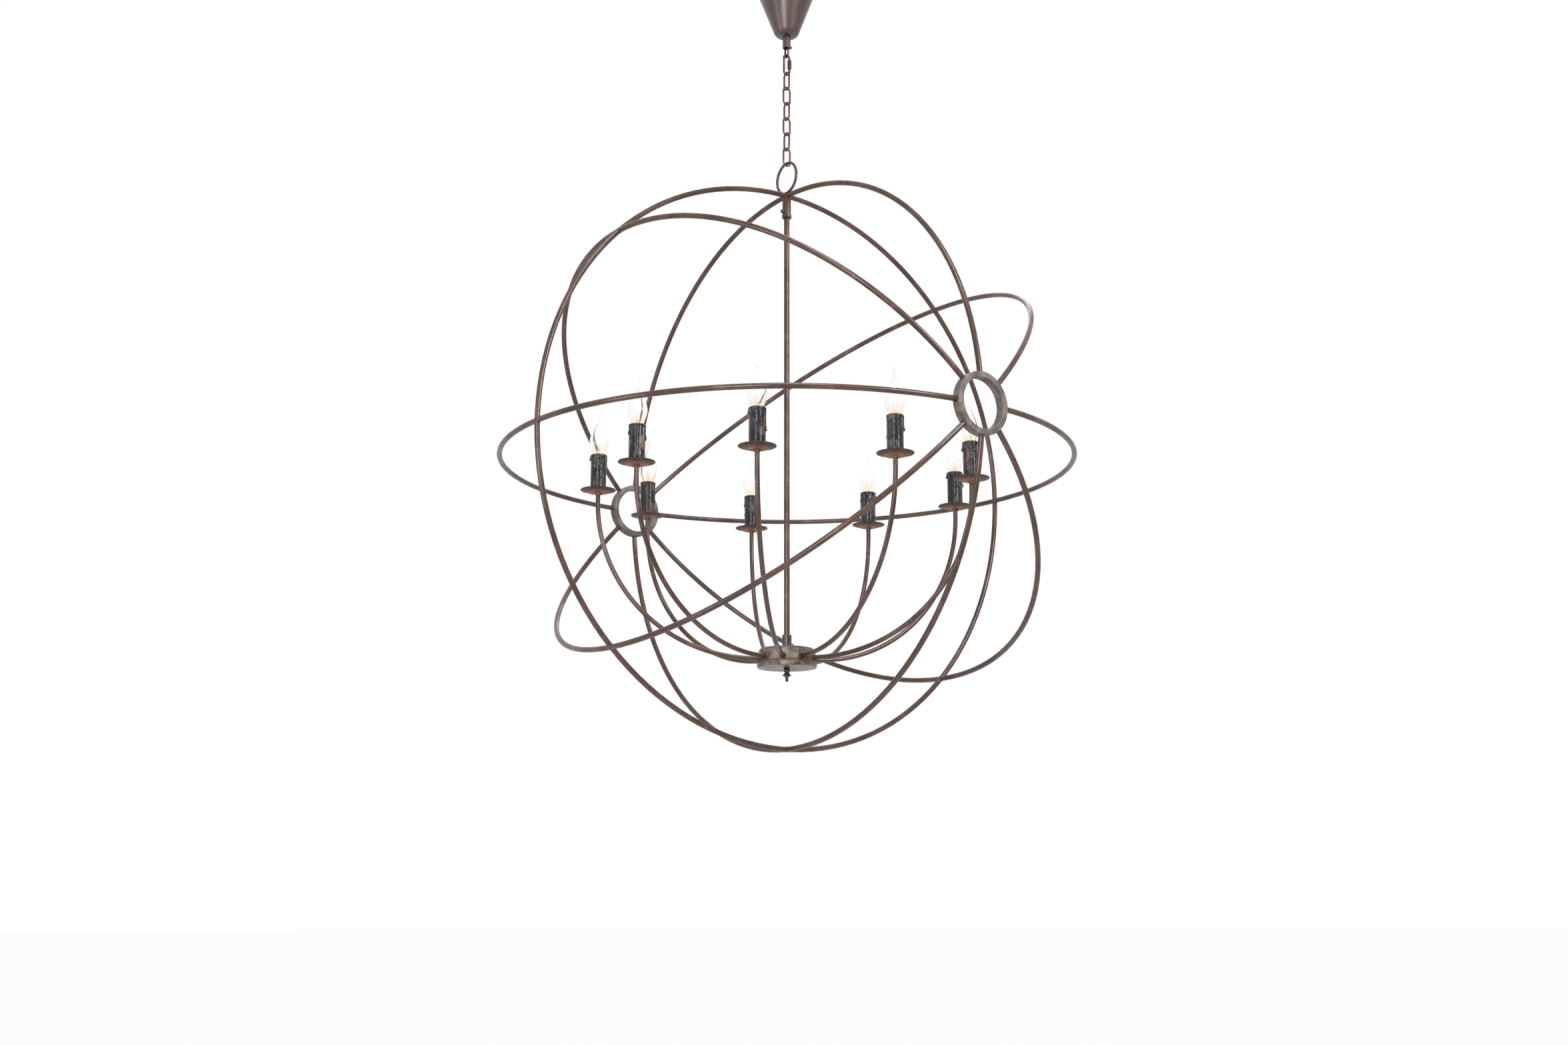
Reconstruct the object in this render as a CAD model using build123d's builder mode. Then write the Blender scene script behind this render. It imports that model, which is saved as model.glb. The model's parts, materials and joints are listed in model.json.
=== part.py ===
from build123d import *
import os
from math import asin, cos, degrees, radians, sin, sqrt, tan

# Orb chandelier with nine candle lights, hung on a chain from a conical canopy.
# Millimetres, +Z up.  The origin is on the ceiling, over the middle of the lamp.
# The unbroken hoop of the orb lies in the XZ plane, and its two pipe rings face
# -Y (front) and +Y (back).

# ---------------------------------------------------------------- clearances
FIT = 0.05            # radial, between a shaft or thread and its hole
SLIDE_FIT = 0.1       # radial, between the collar and the eye it slides on
HANG = 0.3            # between two links that hang on each other
SEAT = 0.2            # between a loose piece and what it rests on
CURVE_GAP = 0.3       # radial, between the hub and its lift-off cover
WELD = 0.02           # root gap of a butt weld

# ---------------------------------------------------------------- ceiling end
SHEET = 1.2           # thickness of spun sheet: canopy, pans and candle sleeves
CEILING_GAP = 1.0     # canopy rim to ceiling
CANOPY_HEIGHT = 97.0
CANOPY_OVERHANG = 4.5  # canopy rim past the bracket's ends
CANOPY_FOOT = 20.3    # radius of the cone where it meets the flat bottom
CANOPY_ROUND = 14.0
COLLAR_WALL = 1.2
COLLAR_LENGTH = 22.0
COLLAR_SCREW_RISE = 4.0
GRUB_RISE = 15.0
GRUB_PROUD = 1.0
SCREW_RADIUS = 2.0
SCREW_HEAD = 3.2
SCREW_SLOT = 0.8

BRACKET_WIDTH = 20.0
BRACKET_SHEET = 2.0
BRACKET_DROP = 12.0   # ceiling to the top of the middle web
SLOT_SPACING = 90.0
SLOT_LENGTH = 10.0
SLOT_WIDTH = 5.0
SLOT_MARGIN = 3.0
ROD_RADIUS = 4.0
ROD_ABOVE_NUT = 2.0
ROD_NUT_ACROSS = 13.0
ROD_NUT_HEIGHT = 5.0
EYE_WIDTH = 12.4
EYE_LENGTH = 30.0
EYE_WIRE = 3.5
EYE_BELOW_COLLAR = 19.5
BLOCK_LENGTH = 20.0
BLOCK_WIDTH = 16.0
BLOCK_HEIGHT = 13.0
BLOCK_MARGIN = 1.5
BLOCK_POLES = 3
EARTH_MARGIN = 8.0    # rod nut to the middle of the earth screw

# ---------------------------------------------------------------- suspension
QUICK_LENGTH = 42.6
QUICK_WIDTH = 16.5
QUICK_WIRE = 4.0
QUICK_GAP = 5.0       # between the two threaded tips
QUICK_TIP = 13.5      # top of the link to its upper tip
NUT_LENGTH = 16.0
NUT_ACROSS = 7.0
NUT_TOP = 11.5        # top of the link to the top of the sleeve nut
LINK_COUNT = 6
LINK_LENGTH = 37.1
LINK_WIDTH = 18.2
LINK_WIRE = 3.5
RING_OUTER = 31.0     # hanging ring, outer radius
RING_WIRE = 5.0

# ---------------------------------------------------------------- orb frame
ORB_RADIUS = 500.0    # to the middle of the bars
BAR_RADIUS = 4.5
BAR_TRIM = 1.5        # hoop's middle to the trimmed tips of a coped bar
RING_SINK = 1.0       # hanging ring let into the bars
PIPE_OUTER = 51.0
PIPE_INNER = 41.0
PIPE_DEPTH = 16.0
PIPE_EDGE = 1.5
TILT = 45.0           # degrees, slanted bars against the level ones
SOCKET_WALL = 2.75
SOCKET_LENGTH = 41.0
SOCKET_SADDLE = 2.5   # socket top let into the bars
SOCKET_ROOF = 8.0
SOCKET_LIP = 0.95
SOCKET_LIP_HEIGHT = 5.5
INLET_RADIUS = 3.5    # cord inlet at the back of the socket
INLET_EDGE = 0.5
THUMB_RISE = 11.6
THUMB_HEAD_RADIUS = 3.4
THUMB_HEAD_LENGTH = 4.5

# ---------------------------------------------------------------- candle tree
STEM_RADIUS = 5.0
STEM_BORE = 3.5
STEM_DROP = 809.0     # stem top to hub top
STEM_COLLAR_WALL = 3.05
STEM_COLLAR_LENGTH = 24.0
HUB_HEIGHT = 32.3
HUB_RADIUS = 49.0
HUB_ROUND = 7.0
HUB_SHEET = 1.5
COVER_WALL = 2.2
COVER_DEPTH = 10.0
COVER_ROUND = 2.0
BRIDGE_LENGTH = 30.0
BRIDGE_WIDTH = 14.0
BRIDGE_HEIGHT = 20.0
BRIDGE_SHEET = 2.0
BRIDGE_ROUND = 3.0
STEM_NUT_ACROSS = 14.0
STEM_NUT_HEIGHT = 4.0
STEM_BELOW_NUT = 1.5
BOLT_RADIUS = 3.0
BOLT_HEAD_RADIUS = 5.0
BOLT_HEAD_HEIGHT = 3.0
BOLT_BELOW_COVER = 9.0
FINIAL_BEAD = 5.5
FINIAL_BEAD_HEIGHT = 7.0
FINIAL_NECK = 4.1
FINIAL_NECK_HEIGHT = 2.0
FINIAL_DISC = 8.0
FINIAL_DISC_HEIGHT = 6.5
FINIAL_TIP = 2.75
FINIAL_TIP_HEIGHT = 7.9

ARM_COUNT = 9
ARM_TURN = 24.8       # degrees, first arm from the +X axis
ARM_RADIUS = 4.0
ARM_BORE = 3.0
ARM_ABOVE_COVER = 3.0  # cover rim to the underside of the arms
ARM_STRAIGHT = 6.0    # hub wall to the start of the bend
ARM_BEND = 275.0      # radius of the arm's quarter turn
ARM_RISE = 11.0       # straight tube above the bend, to the pan's boss
ARM_NUT_ACROSS = 12.0
ARM_NUT_HEIGHT = 3.5
ARM_TAIL = 2.5        # arm end past its nut, inside the hub
LEAD_SLACK = 0.25     # radial, between a lead and the arm's bore
LEAD_TAIL = 8.0       # lead past the arm, at each end
SPLICE_WALL = 1.0
SPLICE_LENGTH = 12.0
SPLICE_GRIP = 8.0
PAN_RADIUS = 30.0
PAN_LEDGE = 1.5       # flat floor outside the candle sleeve
PAN_DEPTH = 5.0
PAN_ROUND = 8.0
PAN_BOSS_WALL = 1.5
PAN_BOSS_HEIGHT = 3.0
HOLDER_NUT_HEIGHT = 4.0
HOLDER_RADIUS = 11.6
HOLDER_GRIP = 9.0     # arm end inside the lamp holder
HOLDER_WALL = 3.0
HOLDER_BELOW = 6.8    # sleeve top to holder top
HOLDER_FLOOR = 6.0    # under the lamp cap
SLEEVE_GAP = 0.7      # radial, between the holder and the candle sleeve
SLEEVE_LENGTH = 68.0
SLEEVE_ROUND = 2.2
SLEEVE_MOUTH_GAP = 0.8
CAP_RADIUS = 6.95     # lamp cap, E14
CAP_LENGTH = 21.0
CAP_CONTACT = 4.0
CAP_CONTACT_HEIGHT = 1.5
CAP_FLANGE = 8.6
CAP_FLANGE_HEIGHT = 1.0
GLASS = 1.0
GLASS_NECK = 10.2     # radius of the glass in the sleeve's mouth
GLASS_BELLY = 16.5
GLASS_BELLY_HEIGHT = 25.0   # heights here are above the sleeve
GLASS_SHOULDER = 11.0
GLASS_SHOULDER_HEIGHT = 42.0
TAIL_RADIUS = 2.6
TAIL_HEIGHT = 62.0
TAIL_TIP_RADIUS = 1.1
BULB_HEIGHT = 89.0
TAIL_LEAN = 8.0       # how far the tip stands off the bulb's axis
TAIL_TURNS = (150, 330, 20, 300, 315, 140, 60, 160, 130)  # degrees, way each tip leans

# ---------------------------------------------------------------- worked out
bracket_length = SLOT_SPACING + SLOT_LENGTH + 2 * SLOT_MARGIN
bracket_foot = SLOT_LENGTH + 2 * SLOT_MARGIN
web_top = -BRACKET_DROP
web_bottom = web_top - BRACKET_SHEET
rod_nut_radius = ROD_NUT_ACROSS / sqrt(3)
block_start = rod_nut_radius + BLOCK_MARGIN
web_half = block_start + BLOCK_LENGTH + BLOCK_MARGIN
canopy_radius = bracket_length / 2 + CANOPY_OVERHANG
canopy_bottom = -CEILING_GAP - CANOPY_HEIGHT
collar_bore = EYE_WIDTH / 2 + SLIDE_FIT
collar_radius = collar_bore + COLLAR_WALL
collar_bottom = canopy_bottom - COLLAR_LENGTH
eye_bottom = collar_bottom - EYE_BELOW_COLLAR

quick_top = eye_bottom + EYE_WIRE + HANG + QUICK_WIRE
quick_bottom = quick_top - QUICK_LENGTH
link_pitch = LINK_LENGTH - 2 * LINK_WIRE - HANG
first_link_top = quick_bottom + QUICK_WIRE + HANG + LINK_WIRE
last_link_bottom = first_link_top - (LINK_COUNT - 1) * link_pitch - LINK_LENGTH
ring_top = last_link_bottom + LINK_WIRE + HANG + RING_WIRE
ring_centre = ring_top - RING_OUTER

orb_top = ring_centre - RING_OUTER + RING_SINK
orb_centre = orb_top - BAR_RADIUS - ORB_RADIUS
pipe_reach = sqrt(ORB_RADIUS**2 - PIPE_OUTER**2)
socket_bore = STEM_RADIUS + FIT
socket_radius = socket_bore + SOCKET_WALL
socket_top = orb_top - 2 * BAR_RADIUS + SOCKET_SADDLE
socket_bottom = socket_top - SOCKET_LENGTH
socket_room = socket_top - SOCKET_ROOF
inlet_height = socket_room - INLET_EDGE - INLET_RADIUS
thumb_height = socket_bottom + THUMB_RISE

stem_top = inlet_height - INLET_RADIUS - INLET_EDGE
hub_top = stem_top - STEM_DROP
hub_ceiling = hub_top - HUB_SHEET
hub_bottom = hub_top - HUB_HEIGHT
hub_bore = HUB_RADIUS - HUB_SHEET
bridge_bottom = hub_ceiling - BRIDGE_HEIGHT
stem_nut_bottom = hub_ceiling - BRIDGE_SHEET - STEM_NUT_HEIGHT
stem_bottom = stem_nut_bottom - STEM_BELOW_NUT
cover_floor = hub_bottom - SEAT
cover_bottom = cover_floor - HUB_SHEET
cover_top = cover_bottom + COVER_DEPTH
cover_bore = HUB_RADIUS + CURVE_GAP
cover_radius = cover_bore + COVER_WALL
finial_top = cover_bottom - SEAT

arm_hole = ARM_RADIUS + FIT
arm_height = cover_top + ARM_ABOVE_COVER + ARM_RADIUS
arm_nut_radius = ARM_NUT_ACROSS / sqrt(3)
arm_nut_end = sqrt(hub_bore**2 - arm_nut_radius**2)
arm_start = arm_nut_end - ARM_NUT_HEIGHT - ARM_TAIL
bend_start = HUB_RADIUS + ARM_STRAIGHT
candle_circle = bend_start + ARM_BEND
bend_top = arm_height + ARM_BEND
pan_bottom = bend_top + ARM_RISE + PAN_BOSS_HEIGHT
pan_floor = pan_bottom + SHEET
holder_bottom = pan_floor + HOLDER_NUT_HEIGHT + SEAT
arm_end = holder_bottom + HOLDER_GRIP
sleeve_radius = HOLDER_RADIUS + SLEEVE_GAP + SHEET
sleeve_mouth = GLASS_NECK + SLEEVE_MOUTH_GAP
sleeve_top = pan_floor + SLEEVE_LENGTH
holder_top = sleeve_top - HOLDER_BELOW
cap_bottom = holder_top - CAP_LENGTH
cap_seat = holder_top + SEAT
glass_bottom = cap_seat + CAP_FLANGE_HEIGHT + FIT
lead_radius = ARM_BORE - LEAD_SLACK
lead_start = arm_start - LEAD_TAIL

orb_middle = (0, 0, orb_centre)
arm_angles = [ARM_TURN + turn * 360 / ARM_COUNT for turn in range(ARM_COUNT)]

os.makedirs("parts", exist_ok=True)


def keep(name, builder):
    """Label a finished piece and write its STEP file."""
    builder.part.label = name
    export_step(builder.part, f"parts/{name}.step")


def upright_plane(angle):
    """A plane through the Z axis: its X points outwards at the angle, its Y points up."""
    turn = radians(angle)
    return Plane(origin=(0, 0, 0), x_dir=(cos(turn), sin(turn), 0), z_dir=(sin(turn), -cos(turn), 0))


def outward_plane(angle, distance, height):
    """A plane square to the arm at that angle, facing outwards."""
    turn = radians(angle)
    place = (distance * cos(turn), distance * sin(turn), height)
    return Plane(origin=place, x_dir=(-sin(turn), cos(turn), 0), z_dir=(cos(turn), sin(turn), 0))


def hex_nut(across, height, bore, bottom):
    """A hexagon nut on the Z axis, its corners taken off at 30 degrees."""
    corner = across / sqrt(3)
    reach = corner + 0.1
    with BuildPart() as nut:
        with BuildSketch(Plane.XY.offset(bottom)):
            RegularPolygon(radius=corner, side_count=6)
            Circle(bore, mode=Mode.SUBTRACT)
        extrude(amount=height)
        with BuildSketch(Plane.XZ):
            for end, way in ((bottom, 1), (bottom + height, -1)):
                slope_end = end + way * (reach - across / 2) * tan(radians(30))
                with BuildLine():
                    Polyline((reach, end), (across / 2, end), (reach, slope_end), close=True)
                make_face()
        revolve(axis=Axis.Z, mode=Mode.SUBTRACT)
    return nut


def long_link(length, width, wire, plane):
    """A closed oval link in the plane, its long axis along the plane's Y."""
    bend = (width - wire) / 2
    leg = (length - width) / 2
    with BuildPart() as link:
        with BuildLine(plane) as path:
            Line((bend, -leg), (bend, leg))
            CenterArc((0, leg), bend, 0, 180)
            Line((-bend, leg), (-bend, -leg))
            CenterArc((0, -leg), bend, 180, 180)
        loop = path.wires()[0]
        with BuildSketch(Plane(origin=loop @ 0, z_dir=loop % 0)):
            Circle(wire / 2)
        sweep(path=loop)
    return link


def round_ring(middle, axis, centre_plane, place, wire_radius):
    """A ring of round wire about an axis through its middle."""
    with BuildPart() as ring:
        with BuildSketch(centre_plane):
            with Locations(place):
                Circle(wire_radius)
        revolve(axis=Axis(middle, axis))
    return ring


# ================================================================ ceiling end
with BuildPart() as ceiling_bracket:
    foot_start = bracket_length / 2 - bracket_foot
    with BuildSketch(Plane.XZ.offset(-BRACKET_WIDTH / 2)):
        with BuildLine():
            Polyline(
                (-bracket_length / 2, 0),
                (-foot_start, 0),
                (-web_half, web_top),
                (web_half, web_top),
                (foot_start, 0),
                (bracket_length / 2, 0),
                (bracket_length / 2, -BRACKET_SHEET),
                (foot_start + BRACKET_SHEET / 2, -BRACKET_SHEET),
                (web_half + BRACKET_SHEET / 2, web_bottom),
                (-web_half - BRACKET_SHEET / 2, web_bottom),
                (-foot_start - BRACKET_SHEET / 2, -BRACKET_SHEET),
                (-bracket_length / 2, -BRACKET_SHEET),
                close=True,
            )
        make_face()
    extrude(amount=BRACKET_WIDTH)
    with BuildSketch(Plane.XY.offset(-BRACKET_SHEET)):
        with GridLocations(SLOT_SPACING, 0, 2, 1):
            SlotOverall(SLOT_LENGTH, SLOT_WIDTH)
    extrude(amount=BRACKET_SHEET, mode=Mode.SUBTRACT)
    earth_place = (-rod_nut_radius - EARTH_MARGIN, 0)
    with BuildSketch(Plane.XY.offset(web_bottom)):
        Circle(ROD_RADIUS + FIT)
        with Locations(earth_place):
            Circle(SCREW_RADIUS + FIT)
    extrude(amount=BRACKET_SHEET, mode=Mode.SUBTRACT)
    ends = ceiling_bracket.edges().filter_by(Axis.Z).group_by(Axis.X)
    fillet(ends[0] + ends[-1], BRACKET_SHEET * 2)
keep("ceiling_bracket", ceiling_bracket)

upper_rod_nut = hex_nut(ROD_NUT_ACROSS, ROD_NUT_HEIGHT, ROD_RADIUS + FIT, web_top)
lower_rod_nut = hex_nut(
    ROD_NUT_ACROSS, ROD_NUT_HEIGHT, ROD_RADIUS + FIT, web_bottom - ROD_NUT_HEIGHT)
with BuildPart() as bracket_nuts:
    add(upper_rod_nut.part)
    add(lower_rod_nut.part)
keep("bracket_nuts", bracket_nuts)

eye = long_link(EYE_LENGTH, EYE_WIDTH, EYE_WIRE, Plane(
    origin=(0, 0, eye_bottom + EYE_LENGTH / 2), x_dir=(0, 1, 0), z_dir=(1, 0, 0)))
with BuildPart() as hanger_rod:
    shank_bottom = eye_bottom + EYE_LENGTH - EYE_WIRE
    shank_top = web_top + ROD_NUT_HEIGHT + ROD_ABOVE_NUT
    add(eye.part)
    with BuildSketch(Plane.XY.offset(shank_bottom)):
        Circle(ROD_RADIUS)
    extrude(amount=shank_top - shank_bottom)
    chamfer(hanger_rod.faces().sort_by(Axis.Z)[-1].edges(), ROD_RADIUS / 5)
keep("hanger_rod", hanger_rod)

with BuildPart() as terminal_block:
    block_middle = block_start + BLOCK_LENGTH / 2
    pole_pitch = BLOCK_LENGTH / BLOCK_POLES
    with BuildSketch(Plane.XY.offset(web_bottom - BLOCK_HEIGHT)):
        with Locations((block_middle, 0)):
            RectangleRounded(BLOCK_LENGTH, BLOCK_WIDTH, pole_pitch / 6)
    extrude(amount=BLOCK_HEIGHT)
    with BuildSketch(Plane.XZ.offset(-BLOCK_WIDTH / 2)):
        with Locations((block_middle, web_bottom - BLOCK_HEIGHT / 2)):
            with GridLocations(pole_pitch, 0, BLOCK_POLES, 1):
                Circle(pole_pitch / 4)
    extrude(amount=BLOCK_WIDTH, mode=Mode.SUBTRACT)
    with BuildSketch(Plane.XY.offset(web_bottom - BLOCK_HEIGHT)):
        with Locations((block_middle, 0)):
            with GridLocations(pole_pitch, BLOCK_WIDTH / 2, BLOCK_POLES, 2):
                Circle(pole_pitch / 4)
    extrude(amount=BLOCK_HEIGHT / 4, mode=Mode.SUBTRACT)
keep("terminal_block", terminal_block)

with BuildPart() as earth_screw:
    earth_head = SCREW_RADIUS * 1.2
    with BuildSketch(Plane.XY.offset(web_bottom - earth_head)):
        with Locations(earth_place):
            Circle(SCREW_RADIUS * 2)
    extrude(amount=earth_head)
    fillet(earth_screw.faces().sort_by(Axis.Z)[0].edges(), earth_head / 2)
    with BuildSketch(Plane.XY.offset(web_bottom - earth_head)):
        with Locations(earth_place):
            Rectangle(SCREW_RADIUS * 5, SCREW_SLOT)
    extrude(amount=earth_head / 2, mode=Mode.SUBTRACT)
    with BuildSketch(Plane.XY.offset(web_bottom)):
        with Locations(earth_place):
            Circle(SCREW_RADIUS)
    extrude(amount=2 * BRACKET_SHEET)
keep("earth_screw", earth_screw)

with BuildPart() as canopy:
    with BuildSketch(Plane.XZ):
        with BuildLine() as canopy_line:
            Polyline(
                (collar_bore, canopy_bottom),
                (CANOPY_FOOT, canopy_bottom),
                (canopy_radius, -CEILING_GAP),
            )
            fillet(canopy_line.vertices().sort_by(Axis.X)[1], CANOPY_ROUND)
            offset(amount=SHEET, side=Side.LEFT)
        make_face()
    revolve(axis=Axis.Z)
keep("canopy", canopy)

with BuildPart() as canopy_collar:
    with BuildSketch(Plane.XY.offset(collar_bottom)):
        Circle(collar_radius)
    extrude(amount=COLLAR_LENGTH)
    fillet(canopy_collar.faces().sort_by(Axis.Z)[0].edges(), COLLAR_WALL / 2)
    with BuildSketch(Plane.XY.offset(collar_bottom)):
        Circle(collar_bore)
    extrude(amount=COLLAR_LENGTH, mode=Mode.SUBTRACT)
    with BuildSketch(Plane.YZ):
        with Locations(
            (0, collar_bottom + COLLAR_SCREW_RISE), (0, collar_bottom + GRUB_RISE)
        ):
            Circle(SCREW_RADIUS + FIT)
    extrude(amount=2 * collar_radius, mode=Mode.SUBTRACT)
keep("canopy_collar", canopy_collar)

with BuildPart() as collar_screw:
    screw_place = (0, collar_bottom + COLLAR_SCREW_RISE)
    screw_tip = EYE_WIRE / 2 + SEAT
    head_start = collar_radius + SEAT
    with BuildSketch(Plane.YZ.offset(head_start)):
        with Locations(screw_place):
            Circle(SCREW_RADIUS * 1.35)
    extrude(amount=SCREW_HEAD)
    fillet(collar_screw.faces().sort_by(Axis.X)[-1].edges(), SCREW_SLOT)
    with BuildSketch(Plane.YZ.offset(head_start + SCREW_HEAD)):
        with Locations(screw_place):
            Rectangle(SCREW_RADIUS * 4, SCREW_SLOT)
    extrude(amount=-SCREW_HEAD / 3, mode=Mode.SUBTRACT)
    with BuildSketch(Plane.YZ.offset(screw_tip)):
        with Locations(screw_place):
            Circle(SCREW_RADIUS)
    extrude(amount=head_start - screw_tip)
keep("collar_screw", collar_screw)

with BuildPart() as grub_screw:
    with BuildSketch(Plane.YZ.offset(collar_bore + FIT)):
        with Locations((0, collar_bottom + GRUB_RISE)):
            Circle(SCREW_RADIUS)
    extrude(amount=COLLAR_WALL + GRUB_PROUD)
    fillet(grub_screw.faces().sort_by(Axis.X)[-1].edges(), GRUB_PROUD / 2)
keep("grub_screw", grub_screw)

# ================================================================ suspension
with BuildPart() as quick_link:
    quick_bend = (QUICK_WIDTH - QUICK_WIRE) / 2
    upper_bend = quick_top - QUICK_WIDTH / 2
    lower_bend = quick_bottom + QUICK_WIDTH / 2
    upper_tip = quick_top - QUICK_TIP
    lower_tip = upper_tip - QUICK_GAP
    with BuildLine(Plane.XZ) as quick_line:
        Line((quick_bend, lower_tip), (quick_bend, lower_bend))
        CenterArc((0, lower_bend), quick_bend, 0, -180)
        Line((-quick_bend, lower_bend), (-quick_bend, upper_bend))
        CenterArc((0, upper_bend), quick_bend, 180, -180)
        Line((quick_bend, upper_bend), (quick_bend, upper_tip))
    quick_path = quick_line.wires()[0]
    with BuildSketch(Plane(origin=quick_path @ 0, z_dir=quick_path % 0)):
        Circle(QUICK_WIRE / 2)
    sweep(path=quick_path)
    chamfer(quick_link.faces().filter_by(Axis.Z).edges(), QUICK_WIRE / 8)
keep("quick_link", quick_link)

sleeve_nut = hex_nut(
    NUT_ACROSS, NUT_LENGTH, QUICK_WIRE / 2 + FIT, quick_top - NUT_TOP - NUT_LENGTH)
with BuildPart() as quick_link_sleeve:
    with Locations((quick_bend, 0, 0)):
        add(sleeve_nut.part)
keep("quick_link_sleeve", quick_link_sleeve)

for number in range(LINK_COUNT):
    link_middle = (0, 0, first_link_top - number * link_pitch - LINK_LENGTH / 2)
    if number % 2:
        link_plane = Plane(origin=link_middle, x_dir=(1, 0, 0), z_dir=(0, -1, 0))
    else:
        link_plane = Plane(origin=link_middle, x_dir=(0, 1, 0), z_dir=(1, 0, 0))
    chain_link = long_link(LINK_LENGTH, LINK_WIDTH, LINK_WIRE, link_plane)
    keep(f"chain_link_{number + 1}", chain_link)

# ================================================================ orb frame
orb_level = Plane.XY.offset(orb_centre)
frame_ring = round_ring(orb_middle, (0, 1, 0), orb_level, (ORB_RADIUS, 0), BAR_RADIUS)
keep("frame_ring", frame_ring)

hoop_gap = round_ring(orb_middle, (0, 1, 0), orb_level, (ORB_RADIUS, 0), BAR_RADIUS + WELD)
upright_gap = round_ring(orb_middle, (1, 0, 0), orb_level, (0, ORB_RADIUS), BAR_RADIUS + WELD)

with BuildPart() as crossing_gap:
    for crossing_plane in (Plane.XZ, Plane.YZ):
        with BuildSketch(crossing_plane):
            with Locations((0, orb_top - BAR_RADIUS)):
                Circle(BAR_RADIUS + WELD)
        extrude(amount=RING_OUTER, both=True)

with BuildPart() as hanging_ring:
    with BuildSketch(Plane.XY.offset(ring_centre)):
        with Locations((0, RING_OUTER - RING_WIRE / 2)):
            Circle(RING_WIRE / 2)
    revolve(axis=Axis((0, 0, ring_centre), (1, 0, 0)))
    add(crossing_gap.part, mode=Mode.SUBTRACT)
keep("hanging_ring", hanging_ring)

for ring_name, ring_start in (
    ("front_ring", pipe_reach - PIPE_DEPTH / 2),
    ("back_ring", -pipe_reach - PIPE_DEPTH / 2),
):
    with BuildPart() as pipe_ring:
        with BuildSketch(Plane.XZ.offset(ring_start)):
            with Locations((0, orb_centre)):
                Circle(PIPE_OUTER)
                Circle(PIPE_INNER, mode=Mode.SUBTRACT)
        extrude(amount=PIPE_DEPTH)
        fillet(pipe_ring.edges().filter_by(GeomType.CIRCLE), PIPE_EDGE)
    keep(ring_name, pipe_ring)

with BuildPart() as pipe_gap:
    with BuildSketch(Plane.XZ):
        with Locations((0, orb_centre)):
            Circle(PIPE_OUTER + WELD)
    extrude(amount=-ORB_RADIUS - PIPE_DEPTH)

with BuildPart() as quarter_bar:
    trim_angle = degrees(asin(BAR_TRIM / ORB_RADIUS))
    pipe_angle = degrees(asin((PIPE_OUTER - 3 * PIPE_EDGE) / ORB_RADIUS))
    with BuildSketch(upright_plane(trim_angle)):
        with Locations((ORB_RADIUS, orb_centre)):
            Circle(BAR_RADIUS)
    revolve(axis=Axis.Z, revolution_arc=90 - pipe_angle - trim_angle)
    add(hoop_gap.part, mode=Mode.SUBTRACT)
    add(pipe_gap.part, mode=Mode.SUBTRACT)
centred_bar = quarter_bar.part.moved(Location((0, 0, -orb_centre)))

for bars_name, slant in (
    ("level_bars", 0),
    ("right_tilt_bars", TILT),
    ("upright_bars", 90),
    ("left_tilt_bars", 180 - TILT),
):
    with BuildPart() as bars:
        for turn in (slant, slant + 180):
            for flip in (0, 180):
                swung = Location(orb_middle, (0, -turn, 0)) * Location((0, 0, 0), (flip, 0, 0))
                with Locations(swung):
                    add(centred_bar)
    keep(bars_name, bars)

with BuildPart() as stem_socket:
    with BuildSketch(Plane.XY.offset(socket_bottom)):
        Circle(socket_radius)
    extrude(amount=SOCKET_LENGTH)
    with BuildSketch(Plane.XY.offset(socket_bottom)):
        Circle(socket_radius + SOCKET_LIP)
    extrude(amount=SOCKET_LIP_HEIGHT)
    chamfer(stem_socket.faces().sort_by(Axis.Z)[0].edges(), SOCKET_LIP / 2)
    with BuildSketch(Plane.XY.offset(socket_bottom)):
        Circle(socket_bore)
    extrude(amount=socket_room - socket_bottom, mode=Mode.SUBTRACT)
    with BuildSketch(Plane.XZ):
        with Locations((0, inlet_height)):
            Circle(INLET_RADIUS)
    extrude(amount=-2 * socket_radius, mode=Mode.SUBTRACT)
    with BuildSketch(Plane.YZ):
        with Locations((0, thumb_height)):
            Circle(SCREW_RADIUS + FIT)
    extrude(amount=-2 * socket_radius, mode=Mode.SUBTRACT)
    add(hoop_gap.part, mode=Mode.SUBTRACT)
    add(upright_gap.part, mode=Mode.SUBTRACT)
keep("stem_socket", stem_socket)

with BuildPart() as thumb_screw:
    thumb_tip = STEM_RADIUS + SEAT
    thumb_head = socket_radius + SEAT
    with BuildSketch(Plane.YZ.offset(-thumb_head)):
        with Locations((0, thumb_height)):
            Circle(THUMB_HEAD_RADIUS)
    extrude(amount=-THUMB_HEAD_LENGTH)
    chamfer(thumb_screw.edges().filter_by(GeomType.CIRCLE), THUMB_HEAD_LENGTH / 6)
    with BuildSketch(Plane.YZ.offset(-thumb_tip)):
        with Locations((0, thumb_height)):
            Circle(SCREW_RADIUS)
    extrude(amount=thumb_tip - thumb_head)
keep("thumb_screw", thumb_screw)

# ================================================================ candle tree
with BuildPart() as stem:
    with BuildSketch(Plane.XY.offset(stem_bottom)):
        Circle(STEM_RADIUS)
        Circle(STEM_BORE, mode=Mode.SUBTRACT)
    extrude(amount=stem_top - stem_bottom)
keep("stem", stem)

with BuildPart() as stem_collar:
    with BuildSketch(Plane.XY.offset(hub_top)):
        Circle(socket_bore + STEM_COLLAR_WALL)
    extrude(amount=STEM_COLLAR_LENGTH)
    fillet(stem_collar.faces().sort_by(Axis.Z)[-1].edges(), STEM_COLLAR_WALL / 2)
    with BuildSketch(Plane.XY.offset(hub_top)):
        Circle(socket_bore)
    extrude(amount=STEM_COLLAR_LENGTH, mode=Mode.SUBTRACT)
keep("stem_collar", stem_collar)

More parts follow.
